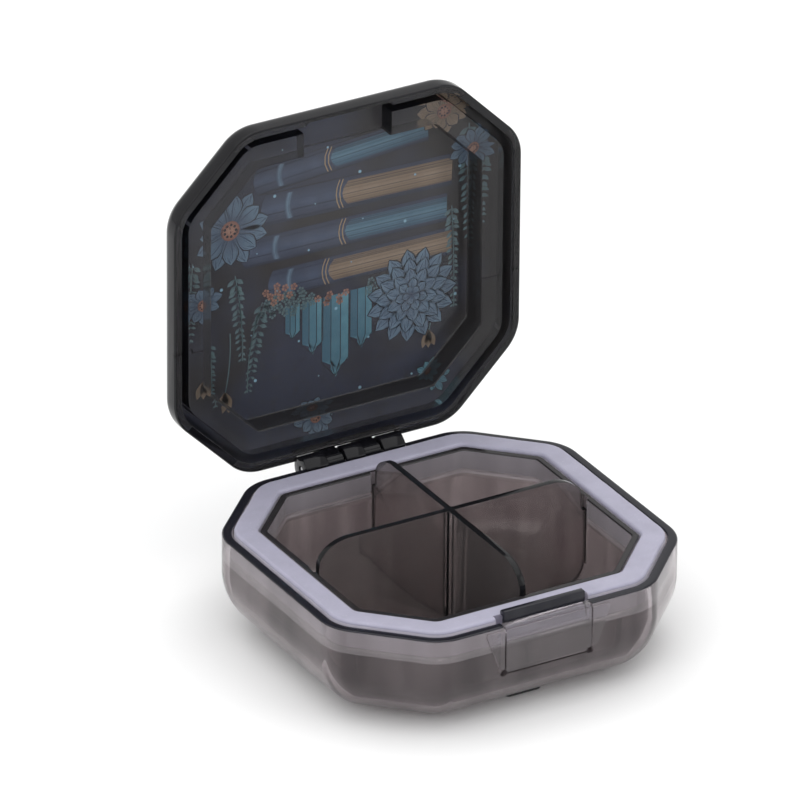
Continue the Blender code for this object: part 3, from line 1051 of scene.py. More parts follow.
@dataclass
class LidPrint:
    """The film moulded in under the lid's outer face, and the motifs printed on it."""

    outline: Outline
    rim_z: float
    top_z: float
    bury: float = 0.45 * MM
    flat_inset: float = 6.2 * MM
    edge_inset: float = 0.55 * MM
    edge_z: float = 2.3 * MM
    middle_inset: float = 14 * MM
    edge_steps: int = 24
    film: float = 0.04 * MM
    step: float = 0.006 * MM
    points: list[Vector] = field(default_factory=list)
    faces: list[tuple[int, ...]] = field(default_factory=list)
    inks: list[int] = field(default_factory=list)
    shades: list[list[Pair]] = field(default_factory=list)
    layer: int = 0

    def height(self, inset: float) -> float:
        """Height of the film's middle, lid shut.

        Args:
            inset: How far in from the box's side.

        Returns:
            The height.
        """
        flat = self.top_z - self.bury
        if inset >= self.flat_inset:
            return flat
        across = self.flat_inset - self.edge_inset
        drop = flat - (self.rim_z + self.edge_z)
        share = min((self.flat_inset - inset) / across, 1.0)
        return flat - drop * (1 - math.sqrt(max(1 - share**2, 0.0)))

    def on_film(self, u: float, v: float, lift: float) -> Vector:
        """A point of the print, u across and v away from the hinge, in millimetres."""
        x, y = u * MM, -v * MM
        return Vector((x, y, self.height(self.outline.inset_at(x, y)) + lift))

    def sheet(self) -> Solid:
        """The dark film itself, closed round its edge.

        Returns:
            The film, lid shut.
        """
        across, steps, half = self.flat_inset - self.edge_inset, self.edge_steps, self.film / 2
        turns = [math.sin(math.pi / 2 * i / steps) for i in range(steps + 1)]
        insets = [self.edge_inset + across * (1 - turn) for turn in turns]
        upper = [(inset, self.height(inset) + half) for inset in (self.middle_inset, *insets)]
        lower = [(inset + self.film, self.height(inset) - half) for inset in reversed(insets)]
        lower += [(self.middle_inset, self.height(self.middle_inset) - half)]
        return Solid.loft("lid_print_film", self.outline, upper + lower)

    def patch(
        self, rows: Sequence[Sequence[Pair]], ink: Ink, shade: Sequence[Sequence[Pair]]
    ) -> None:
        """Adds one printed patch, thick enough to show on both faces of the film.

        Args:
            rows: A grid of (u, v) points in millimetres.
            ink: Its ink.
            shade: The grid's UV values.
        """
        lift = self.film / 2 + self.step * (1 + self.layer)
        across, count = len(rows[0]), len(rows) * len(rows[0])
        start = len(self.points)
        for side in (lift, -lift):
            self.points += [self.on_film(u, v, side) for row in rows for u, v in row]
        tint = [pair for row in shade for pair in row]

        def add(corners: Sequence[int]) -> None:
            """Adds a face with its ink and shading.

            Args:
                corners: Its corners' numbers within the patch.
            """
            self.faces.append(tuple(start + i for i in corners))
            self.inks.append(ink.index)
            self.shades.append([tint[i % count] for i in corners])

        for r in range(len(rows) - 1):
            for c in range(across - 1):
                a, b = r * across + c, r * across + c + 1
                add((a, b, b + across, a + across))
                add((count + a + across, count + b + across, count + b, count + a))
        rim = list(range(across))
        rim += [r * across + across - 1 for r in range(1, len(rows))]
        rim += [(len(rows) - 1) * across + c for c in range(across - 2, -1, -1)]
        rim += [r * across for r in range(len(rows) - 2, 0, -1)]
        for a, b in zip(rim, rim[1:] + rim[:1]):
            add((b, a, count + a, count + b))

    def bar(
        self,
        start: Pair,
        end: Pair,
        width: float,
        ink: Ink,
        bulge: float = 0.0,
        bow: float = 0.0,
    ) -> None:
        """A straight or bowed bar, such as a book's cover, its pages or a stem.

        Args:
            start: First end.
            end: Second end.
            width: Width in millimetres.
            ink: Its ink.
            bulge: How far its first end is rounded outwards.
            bow: Sideways bow at its middle.
        """
        a, b = Vector(start), Vector(end)
        along = b - a
        side = Vector((-along.y, along.x)).normalized()
        rows, shade = [], []
        steps = max(int(along.length / 1.2), 3)
        for i in range(steps + 1):
            t = i / steps
            row, tint = [], []
            for j in range(5):
                s = j / 4 - 0.5
                out = -bulge * (1 - 4 * s * s) * (1 - t)
                middle = a + along * t + side * (bow * 4 * t * (1 - t)) + along.normalized() * out
                point = middle + side * (s * width)
                row.append((point.x, point.y))
                tint.append((1 - abs(2 * s), s * width / 4 + 0.5))
            rows.append(row)
            shade.append(tint)
        self.patch(rows, ink, shade)

    def petal(
        self, root: Pair, angle: float, length: float, width: float, ink: Ink, tip: float = 0.6
    ) -> None:
        """One petal, leaf or bud growing from a root at an angle in degrees.

        Args:
            root: Where it starts.
            angle: Its direction.
            length: Its length in millimetres.
            width: Its widest.
            ink: Its ink.
            tip: Where along it is widest, 0 to 1.
        """
        turn = math.radians(angle)
        along = Vector((math.cos(turn), math.sin(turn)))
        side = Vector((-along.y, along.x))
        rows, shade = [], []
        power = math.log(0.5) / math.log(tip)
        shares = (-1, -0.5, 0, 0.5, 1)
        for i in range(8):
            t = i / 7
            half = width / 2 * max(math.sin(math.pi * t**power), 0.03)
            points = [Vector(root) + along * (length * t) + side * (half * s) for s in shares]
            rows.append([(p.x, p.y) for p in points])
            shade.append([(t, 0.5 + s / 2) for s in shares])
        self.patch(rows, ink, shade)

    def disc(self, middle: Pair, radius: float, ink: Ink) -> None:
        """A round spot.

        Args:
            middle: Its centre.
            radius: Its radius in millimetres.
            ink: Its ink.
        """
        rows, shade, spans = [], [], 14
        for i in range(3):
            reach = radius * (1 - i / 2.001)
            turns = [math.tau * k / spans for k in range(spans + 1)]
            rows.append(
                [(middle[0] + reach * math.cos(a), middle[1] + reach * math.sin(a)) for a in turns]
            )
            shade.append([(i / 2, k / spans) for k in range(spans + 1)])
        self.patch(rows, ink, shade)

    def daisy(
        self, middle: Pair, radius: float, petals: int, ink: Ink, squash: float = 1.0
    ) -> None:
        """An open flower with a seeded middle.

        Args:
            middle: Its centre.
            radius: Its radius in millimetres.
            petals: How many petals it has.
            ink: Their ink.
            squash: How tall it is for its width, 0 to 1.
        """
        for turn in range(petals):
            angle = 360 * turn / petals + 7
            short = (1 - squash) * abs(math.sin(math.radians(angle)))
            reach = radius * (1 - 0.12 * (turn % 2)) * (1 - short)
            under = 2 * (turn % 2)
            self.layer += under
            self.petal(middle, angle, reach + 0.15, radius * 0.46, Ink.LINE, 0.68)
            self.layer += 1
            self.petal(middle, angle, reach, radius * 0.40, ink, 0.68)
            self.layer -= under + 1
        self.layer += 4
        self.disc(middle, radius * 0.25, Ink.CORAL)
        self.layer += 1
        seeds, reach = 9, radius * 0.15
        for turn in range(seeds):
            angle = math.tau * turn / seeds
            at = (middle[0] + reach * math.cos(angle), middle[1] + reach * math.sin(angle))
            self.disc(at, radius * 0.035, Ink.LINE)
        self.layer -= 5

    def rosette(self, middle: Pair, radius: float) -> None:
        """A many-layered flower, each ring of petals smaller than the last.

        Args:
            middle: Its centre.
            radius: Its radius in millimetres.
        """
        rings = ((1.0, 15), (0.80, 13), (0.58, 10), (0.36, 7), (0.2, 5))
        for ring, (share, count) in enumerate(rings):
            self.layer += 1
            reach, narrow = radius * share, radius * share**0.5
            for turn in range(count):
                angle = 360 * turn / count + 11 * ring
                self.petal(middle, angle, reach + 0.18, 0.40 * narrow, Ink.LINE, 0.7)
                self.layer += 1
                self.petal(middle, angle, reach, 0.33 * narrow, Ink.PETAL, 0.7)
                self.layer -= 1
        self.layer -= len(rings)

    def sprig(
        self, top: Pair, length: float, sway: float, leaf: float, ink: Ink = Ink.LEAF
    ) -> None:
        """A hanging stem with paired leaves.

        Args:
            top: Where it hangs from.
            length: Its length in millimetres.
            sway: How far its end hangs to the right.
            leaf: Length of a leaf.
            ink: Its ink.
        """
        end = (top[0] + sway, top[1] - length)
        self.bar(top, end, 0.22, ink, bow=sway * 0.3)
        count = max(int(length / (leaf * 0.62)), 3)
        for i in range(count):
            t = (i + 0.5) / count
            at = (top[0] + sway * t, top[1] - length * t)
            size, spread = leaf * (1.1 - 0.6 * t), 52 - 14 * math.sin(i * 1.7)
            for side in (-1, 1):
                self.petal(at, -90 + side * spread, size, size * 0.42, ink, 0.55)

    def crystal(self, top: Pair, length: float, width: float) -> None:
        """A hanging faceted crystal with three lit faces.

        Args:
            top: Middle of its upper end.
            length: Its length in millimetres.
            width: Its width.
        """
        for share, low, tilt in ((-0.5, 0.86, 0.1), (-0.16, 1.0, 0.5), (0.2, 0.9, 0.85)):
            left = top[0] + width * share
            right = top[0] + width * (share + (0.34 if share < 0.1 else 0.3))
            foot, nib = top[1] - length * low, top[1] - length * (low + 0.12)
            middle = top[0] + width * 0.02
            rows = [
                [(left, top[1]), (right, top[1])],
                [(left, foot), (right, foot)],
                [(middle - 0.02, nib), (middle + 0.02, nib)],
            ]
            shade = [[(lit, 0), (lit, 0.2)] for lit in (tilt, tilt * 0.7, 1)]
            self.patch(rows, Ink.CRYSTAL, shade)
        self.layer += 1
        for share in (-0.5, -0.16, 0.2, 0.5):
            x, shoulder = top[0] + width * share, top[1] - length * 0.88
            self.bar((x, top[1]), (x, shoulder), 0.13, Ink.LINE)
            self.bar((x, shoulder), (top[0], top[1] - length * 1.1), 0.13, Ink.LINE)
        self.layer -= 1

    def book(self, left: Pair, right: Pair, thick: float, pages: Ink, spine: float) -> None:
        """A plain closed book lying flat: cover, rounded spine, gilt bands and page edges.

        Args:
            left: Middle of the spine's end.
            right: Middle of the far end.
            thick: Thickness in millimetres.
            pages: The ink of its page edges.
            spine: Share of the length that shows as cover before the pages start.
        """
        a, b = Vector(left), Vector(right)
        turn = a.lerp(b, spine)
        self.bar(left, right, thick + 0.3, Ink.LINE, bulge=1.0)
        self.layer += 1
        self.bar(left, right, thick, Ink.COVER, bulge=0.9)
        self.layer += 1
        self.bar((turn.x, turn.y), (b.x, b.y), thick * 0.74, pages, bulge=1.1)
        for back in (0.8, 1.5):
            near = turn - (b - a).normalized() * back
            low = near - Vector((0.12, thick * 0.46))
            high = near + Vector((-0.12, thick * 0.46))
            self.bar((low.x, low.y), (high.x, high.y), 0.22, Ink.GOLD, bow=0.7)
        near, half = a.lerp(turn, 0.3), thick * 0.42
        self.bar((near.x, near.y - half), (near.x, near.y + half), 1.3, Ink.PETAL, bow=0.5)
        self.layer -= 2

    def cluster(self, middle: Pair, spread: Pair, count: int, ink: Ink, seed: int) -> None:
        """Small round blossoms scattered over a patch.

        Args:
            middle: The patch's centre.
            spread: Its half sizes in millimetres.
            count: How many blossoms.
            ink: Their ink.
            seed: Turns the scatter, so that two patches differ.
        """
        for i in range(count):
            angle = GOLDEN_ANGLE * (i + seed)
            reach = math.sqrt((i + 0.5) / count)
            x = middle[0] + spread[0] * reach * math.cos(angle)
            y = middle[1] + spread[1] * reach * math.sin(angle)
            for turn in range(5):
                self.petal((x, y), 72 * turn + 31 * i, 0.75, 0.55, ink, 0.7)

    def draw(self) -> None:
        """Draws the whole print, from its lowest layer up."""
        for left, right, thick, pages, spine in (
            ((-15.0, 20.0), (19.0, 22.5), 5.0, Ink.PAGES_TEAL, 0.46),
            ((-13.5, 14.2), (24.0, 13.2), 6.0, Ink.PAGES_SAND, 0.44),
            ((-17.5, 6.6), (23.0, 6.0), 5.4, Ink.PAGES_TEAL, 0.52),
            ((-12.0, -0.6), (24.0, -0.8), 5.4, Ink.PAGES_SAND, 0.34),
        ):
            self.book(left, right, thick, pages, spine)
        self.layer = 3
        for x, length, width in (
            (-4.0, 9.5, 4.2),
            (0.6, 14.5, 5.4),
            (5.8, 10.5, 4.4),
            (-8.0, 6.0, 3.0),
        ):
            self.crystal((x, -5.6), length, width)
        self.layer = 6
        for top, length, sway, leaf in (
            ((-19.5, 3.0), 17.0, 1.5, 1.9),
            ((-14.0, -3.5), 17.0, -3.0, 1.9),
            ((10.0, -4.0), 9.0, 1.0, 1.6),
            ((26.5, 22.0), 23.0, 1.0, 2.2),
            ((29.6, 17.0), 20.0, -0.8, 2.0),
            ((24.0, 6.0), 20.0, 0.6, 1.7),
            ((-28.5, 8.0), 15.0, -0.6, 1.8),
            ((-24.5, -9.0), 12.0, 0.4, 1.4),
        ):
            self.sprig(top, length, sway, leaf)
        for x, low in ((-21.5, -21.0), (-26.5, -17.0), (19.5, -19.0)):
            self.bar((x + 1.0, -8.0), (x, low + 1.4), 0.25, Ink.LEAF, bow=0.4)
            for turn in (-1, 0, 1):
                self.petal((x, low + 1.8), -90 + 20 * turn, 3.6, 1.4, Ink.PAGES_SAND, 0.55)
        self.cluster((-9.0, -5.0), (5.6, 2.4), 26, Ink.LEAF, 2)
        self.cluster((9.5, -6.0), (3.4, 1.8), 12, Ink.LEAF, 5)
        self.layer = 8
        self.cluster((-10.5, -2.6), (3.2, 2.0), 9, Ink.CORAL, 1)
        self.cluster((0.0, -6.0), (3.6, 1.2), 7, Ink.CORAL, 4)
        self.daisy((-20.5, 12.0), 7.6, 15, Ink.PETAL)
        self.daisy((-26.5, -0.5), 4.6, 11, Ink.PETAL, 0.8)
        self.daisy((21.5, 25.5), 5.6, 13, Ink.PAGES_SAND, 0.75)
        self.daisy((27.6, 17.0), 4.4, 11, Ink.PETAL)
        self.daisy((-4.0, -28.0), 4.6, 12, Ink.PETAL, 0.7)
        self.daisy((20.0, -26.0), 3.2, 10, Ink.CRYSTAL)
        self.rosette((16.0, -9.5), 9.0)
        stars, widest, margin = 34, 31, 1.6 * MM
        for i in range(stars):
            angle, reach = GOLDEN_ANGLE * i, widest * math.sqrt((i + 0.5) / stars)
            u, v = reach * math.cos(angle), reach * math.sin(angle)
            if self.outline.inset_at(u * MM, v * MM) > margin:
                self.disc((u, v), 0.13 + 0.09 * (i % 3), Ink.STAR)

    def motifs(self) -> bpy.types.Object:
        """Makes the print's inked patches.

        Returns:
            The motifs as one piece, lid shut.
        """
        self.draw()
        mesh = bpy.data.meshes.new("lid_print_motifs")
        mesh.from_pydata([tuple(point) for point in self.points], [], self.faces)
        layer = mesh.uv_layers.new(name="Motif")
        for face, ink, shade in zip(mesh.polygons, self.inks, self.shades):
            face.material_index = ink
            for loop, pair in zip(face.loop_indices, shade):
                layer.data[loop].uv = pair
        piece = bpy.data.objects.new("lid_print_motifs", mesh)
        bpy.context.scene.collection.objects.link(piece)
        return piece


# ---------------------------------------------------------------- pieces


@dataclass
class Box:
    """What the pieces share: the plan outline, the rim's height and the hinge line."""

    outline: Outline
    rim_z: float
    hinge_y: float
    hinge_z: float
    open_by: float = math.radians(90)
    seal_rise: float = 0.7 * MM
    wall: float = 1.8 * MM
    seal_outer: float = 2.1 * MM
    seal_inner: float = 6.4 * MM
    seal_depth: float = 3.9 * MM
    rim_round: float = 0.4 * MM

    @classmethod
    def from_frame(cls, frame: dict) -> Box:
        """Measures the CAD nodes.


        Returns:
            The shared sizes.
        """
        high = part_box("seal_ring")[1]
        _, hinge_y, hinge_z = frame["record"]["behaviour"]["joints"][0]["pos_m"]
        outline = Outline(high[0] + cls.seal_outer, high[1] + cls.seal_outer)
        return cls(outline, high[2] - cls.seal_rise, hinge_y, hinge_z)

    def opened(self, piece: bpy.types.Object) -> bpy.types.Object:
        """Turns a lid piece from shut to its rest pose, open, within its mesh.

        Args:
            piece: The piece, lid shut.

        Returns:
            The same piece.
        """
        hinge = Vector((0, self.hinge_y, self.hinge_z))
        turn = Matrix.Rotation(-self.open_by, 4, "X")
        piece.data.transform(Matrix.Translation(hinge) @ turn @ Matrix.Translation(-hinge))
        return piece


@dataclass
class Hinge:
    """Ears on the casing, knuckles on the lid and the pin through both."""

    box: Box
    pin_radius: float = 0.6 * MM
    pin_length: float = 19.6 * MM
    clearance: float = 0.08 * MM
    ear_radius: float = 2.4 * MM
    ear_outer: float = 10.0 * MM
    ear_width: float = 4.4 * MM
    middle_width: float = 3.8 * MM
    ear_foot: float = 6.0 * MM
    knuckle_radius: float = 1.7 * MM
    gap: float = 0.3 * MM
    ear_ease: float = 0.18 * MM
    pin_nose: float = 0.18 * MM
    pin_sides: int = 40

    def ears(self) -> list[Pair]:
        """Where the three ears stand along the hinge.

        Returns:
            Each ear's two ends.
        """
        half = self.middle_width / 2
        return [
            (-self.ear_outer, self.ear_width - self.ear_outer),
            (-half, half),
            (self.ear_outer - self.ear_width, self.ear_outer),
        ]

    def knuckles(self) -> list[Pair]:
        """Where the two knuckles sit between the ears."""
        ears = self.ears()
        return [(left[1] + self.gap, right[0] - self.gap) for left, right in zip(ears, ears[1:])]

    def swing(self, name: str, radius: float, low: float, high: float) -> Solid:
        """A round cutter about the hinge line."""
        centre = (self.box.hinge_y, self.box.hinge_z)
        return Solid.prism(name, circle(centre, radius, 48), Axis.X, low, high)

    def ear(self, name: str, low: float, high: float) -> Solid:
        """One ear: a round head, a foot down the wall and a rib over the rim.

        Args:
            name: Name of the piece.
            low: Its end towards -X.
            high: Its end towards +X.

        Returns:
            The ear.
        """
        box, edge = self.box, self.box.outline.half_y
        inner, middle = edge - box.wall + box.rim_round, edge - box.wall / 2
        profile = arc((box.hinge_y, box.hinge_z), (self.ear_radius, self.ear_radius), -50, 110, 28)
        profile += [
            (inner, box.rim_z + box.rim_round),
            (inner, box.rim_z - box.rim_round),
            (middle, box.rim_z - box.wall),
            (middle, box.rim_z - self.ear_foot),
        ]
        return Solid.prism(name, profile, Axis.X, low, high).soften(self.ear_ease, 2)

    def bore(self, name: str) -> Solid:
        """The pin's hole."""
        reach = self.ear_outer + PAST
        return self.swing(name, self.pin_radius + self.clearance, -reach, reach)

    def build(self, finishes: Finishes) -> None:
        """Makes the pin, with a small lead-in at both ends.

        Args:
            finishes: The box's finishes.
        """
        half, nose, full = self.pin_length / 2, self.pin_nose, self.pin_radius
        slim = full - nose
        stations = ((-half, slim), (nose - half, full), (half - nose, full), (half, slim))
        rings = [
            [
                Vector((x, self.box.hinge_y + u, self.box.hinge_z + v))
                for u, v in circle((0, 0), radius, self.pin_sides)
            ]
            for x, radius in stations
        ]
        pin = Solid.skin("pin", rings).settle()
        dress(pin, finishes.pick(Finish.PIN))
        place(pin, "base", Slot.PIN, "hinge_pin")


@dataclass
class Casing:
    """The outer casing, its feet and the press tab that is parted from its front."""

    box: Box
    hinge: Hinge
    floor: float = 1.4 * MM
    round: float = 12 * MM
    tab_width: float = 16.9 * MM
    tab_height: float = 9.2 * MM
    tab_thick: float = 1.35 * MM
    tab_gap: float = 0.3 * MM
    relief: float = 0.7 * MM
    panel_top: float = 25.0 * MM
    panel_bottom: float = 19.4 * MM
    panel_drop: float = 0.6 * MM
    panel_height: float = 7.6 * MM
    panel_proud: float = 0.35 * MM
    panel_round: float = 0.9 * MM
    panel_ease: float = 0.16 * MM
    hook_width: float = 16.0 * MM
    hook_thick: float = 0.8 * MM
    hook_reach: float = 1.6 * MM
    hook_top: float = 2.0 * MM
    hook_back: float = 1.25 * MM
    hook_root: float = 2.3 * MM
    hook_over: float = 0.25 * MM
    hook_ease: float = 0.12 * MM
    foot_length: float = 7.0 * MM
    foot_width: float = 2.2 * MM
    foot_depth: float = 0.9 * MM
    foot_inset: float = 8.8 * MM
    foot_round: float = 0.9 * MM
    foot_ease: float = 0.15 * MM
    foot_gap: float = 0.3 * MM
    lip_depth: float = 4.4 * MM
    rim_depth: float = 0.5 * MM
    hinge_depth: float = 3 * MM
    level: float = 0.55
    frontal: float = 0.9

    def sections(self) -> Profile:
        """The wall's section, from the underside over the rim to the floor.

        Returns:
            Each ring's inset and height, split where the pale lip starts.
        """
        box, lip = self.box, self.box.rim_round
        r, t = self.round, box.wall
        out = arc((r, r), (r, r), 270, 180, 30)
        out.append((0, box.rim_z - self.lip_depth))
        out += arc((lip, box.rim_z - lip), (lip, lip), 180, 90, 6)
        out += arc((t - lip, box.rim_z - lip), (lip, lip), 90, 0, 6)
        out.append((t, box.rim_z - self.lip_depth))
        return out + arc((r, r), (r - t, r - self.floor), 180, 270, 26)

    def panel(self, name: str) -> Solid:
        """The raised trapezium on the front.

        Args:
            name: Name of the piece.

        Returns:
            The panel, rooted in the wall.
        """
        top, edge = self.box.rim_z - self.panel_drop, -self.box.outline.half_y
        low, narrow, broad = top - self.panel_height, self.panel_bottom / 2, self.panel_top / 2
        corners = [(-narrow, low), (narrow, low), (broad, top), (-broad, top)]
        profile = rounded(corners, self.panel_round)
        front, back = edge - self.panel_proud, edge + self.box.wall / 2
        return Solid.prism(name, profile, Axis.Y, front, back).soften(self.panel_ease)

    def wall(self, name: str) -> Solid:
        """The casing with its raised panel, before the tab is parted from it."""
        return Solid.loft(name, self.box.outline, self.sections()).join(self.panel(name + "_panel"))

    def relief_hole(self, name: str, side: int) -> Solid:
        """The round end of a slit.

        Args:
            name: Name of the piece.
            side: -1 for the left slit and 1 for the right.

        Returns:
            The cutter.
        """
        edge, z = -self.box.outline.half_y, self.box.rim_z - self.tab_height
        plan = circle((side * (self.tab_width + self.tab_gap) / 2, z), self.relief, 28)
        return Solid.prism(name, plan, Axis.Y, edge - PAST, edge + self.box.wall + PAST)

    def finish_of(self, centre: Vector, normal: Vector) -> int:
        """Dark at the hinge and on the flat rim, frosted on the panel with a painted-light paler
        top, and a painted-light pale band below the rim.

        Args:
            centre: A face's centre.
            normal: Its direction.

        Returns:
            Its material's slot.
        """
        box, edge = self.box, self.box.outline.half_y
        over_rim = centre.z > box.rim_z + 0.4 * HAIR and centre.y > edge - self.hinge_depth
        if centre.y > edge + HAIR or over_rim:
            return 3
        if normal.z > self.level and centre.z > box.rim_z - self.rim_depth:
            return 1
        if normal.y < -self.frontal and centre.y < -edge - self.panel_proud / 2:
            return 2
        in_wall = box.outline.inset_at(centre.x, centre.y) < box.wall + HAIR
        # painted light: the paler upper band of the wall
        return 4 if centre.z > box.rim_z - self.lip_depth and in_wall else 0

    def build_shell(self, finishes: Finishes) -> None:
        """Makes the casing.

        Args:
            finishes: The box's finishes.
        """
        box, hinge = self.box, self.hinge
        shell = self.wall("casing")
        for i, (low, high) in enumerate(hinge.ears()):
            shell.join(hinge.ear(f"ear_{i}", low, high))
        shell.cut(hinge.bore("ear_bore"))
        swung = hinge.knuckle_radius + hinge.gap
        for i, (low, high) in enumerate(hinge.knuckles()):
            shell.cut(hinge.swing(f"pocket_{i}", swung, low - hinge.gap, high + hinge.gap))
        half, edge = self.tab_width / 2 + self.tab_gap, -box.outline.half_y
        sill = box.rim_z - self.tab_height - self.tab_gap
        front, back = edge - PAST, edge + box.wall + PAST / 2
        shell.cut(Solid.block("window", (-half, front, sill), (half, back, box.rim_z + PAST)))
        for side in (-1, 1):
            shell.cut(self.relief_hole(f"relief_{side}", side))
        gap = self.foot_gap
        for name, (x, y), (along, across) in self.feet():
            low = (x - along - gap, y - across - gap, -PAST)
            high = (x + along + gap, y + across + gap, self.foot_depth + gap / 2)
            shell.cut(Solid.block(name + "_pocket", low, high))
        piece = shell.settle()
        looks = finishes.pick(
            Finish.CASING,
            Finish.CASING_EDGE,
            Finish.CASING_FROST_AND_PAINTED_LIGHT,
            Finish.HINGE_DARK,
            Finish.CASING_LIP_PAINTED_LIGHT,
        )
        dress(piece, looks, self.finish_of)
        place(piece, "base", Slot.CASING, "base_shell")

    def feet(self) -> list[tuple[str, Pair, Pair]]:
        """Where the feet are.

        Returns:
            Each foot's name, centre and half sizes.
        """
        long, short = self.foot_length / 2, self.foot_width / 2
        reach_x = self.box.outline.half_x - self.foot_inset
        reach_y = self.box.outline.half_y - self.foot_inset
        return [
            ("foot_front", (0, -reach_y), (long, short)),
            ("foot_rear", (0, reach_y), (long, short)),
            ("foot_left", (-reach_x, 0), (short, long)),
            ("foot_right", (reach_x, 0), (short, long)),
        ]

    def build_feet(self, finishes: Finishes) -> None:
        """Makes four soft strips with rounded ends.

        Args:
            finishes: The box's finishes.
        """
        ease = self.foot_ease
        for name, (x, y), (along, across) in self.feet():
            corners = [
                (x - along, y - across),
                (x + along, y - across),
                (x + along, y + across),
                (x - along, y + across),
            ]
            plan = rounded(corners, self.foot_round, 6)
            rings = [
                [
                    Vector((u - math.copysign(draw, u - x), v - math.copysign(draw, v - y), z))
                    for u, v in plan
                ]
                for z, draw in ((0, ease), (ease, 0), (self.foot_depth, 0))
            ]
            piece = Solid.skin(name.replace("foot", "rubber_foot"), rings).settle()
            dress(piece, finishes.pick(Finish.FOOT))
            place(piece, "base", Slot.FOOT, name)

    def hook(self) -> Solid:
        """The tab's hook: a stem up from its back and a lip in over the seal.

        Returns:
            The hook.
        """
        box, edge, thick = self.box, -self.box.outline.half_y, self.hook_thick
        outer, low = edge + self.hook_back, box.rim_z - self.hook_root
        inner, tip, half = outer + thick, outer + self.hook_reach, thick / 2
        under, top = box.rim_z + box.seal_rise + self.hook_over, box.rim_z + self.hook_top
        face, root = edge + self.tab_thick, edge + self.tab_thick / 2
        profile = [
            (root, low),
            (face, low - thick),
            (inner, low + thick),
            (inner, under),
            (tip, under),
            (tip, top - half),
            (tip - half, top),
            (outer, top),
            (outer, box.rim_z - box.rim_round),
            (root, box.rim_z - box.rim_round),
        ]
        reach = self.hook_width / 2
        return Solid.prism("hook", profile, Axis.X, -reach, reach).soften(self.hook_ease, 2)

    def build_tab(self, finishes: Finishes) -> None:
        """Makes the press tab with its hook.

        Args:
            finishes: The box's finishes.
        """
        box, edge, half = self.box, -self.box.outline.half_y, self.tab_width / 2
        tab = self.wall("press_tab")
        low = (-half, edge - PAST, box.rim_z - self.tab_height)
        high = (half, edge + self.tab_thick, box.rim_z + PAST)
        tab.keep(Solid.block("tab_outline", low, high))
        for side in (-1, 1):
            tab.cut(self.relief_hole(f"tab_relief_{side}", side))
        tab.join(self.hook())
        piece = tab.settle()

        def rule(centre: Vector, normal: Vector) -> int:
            """Dark on the hook and frosted elsewhere, with a painted-light paler band at the top.
            """
            return 1 if centre.z > box.rim_z + 3 * HAIR else 0

        dress(piece, finishes.pick(Finish.CASING_FROST_AND_PAINTED_LIGHT, Finish.CASING_EDGE), rule)
        place(piece, "latch", Slot.TAB, "latch_tab")


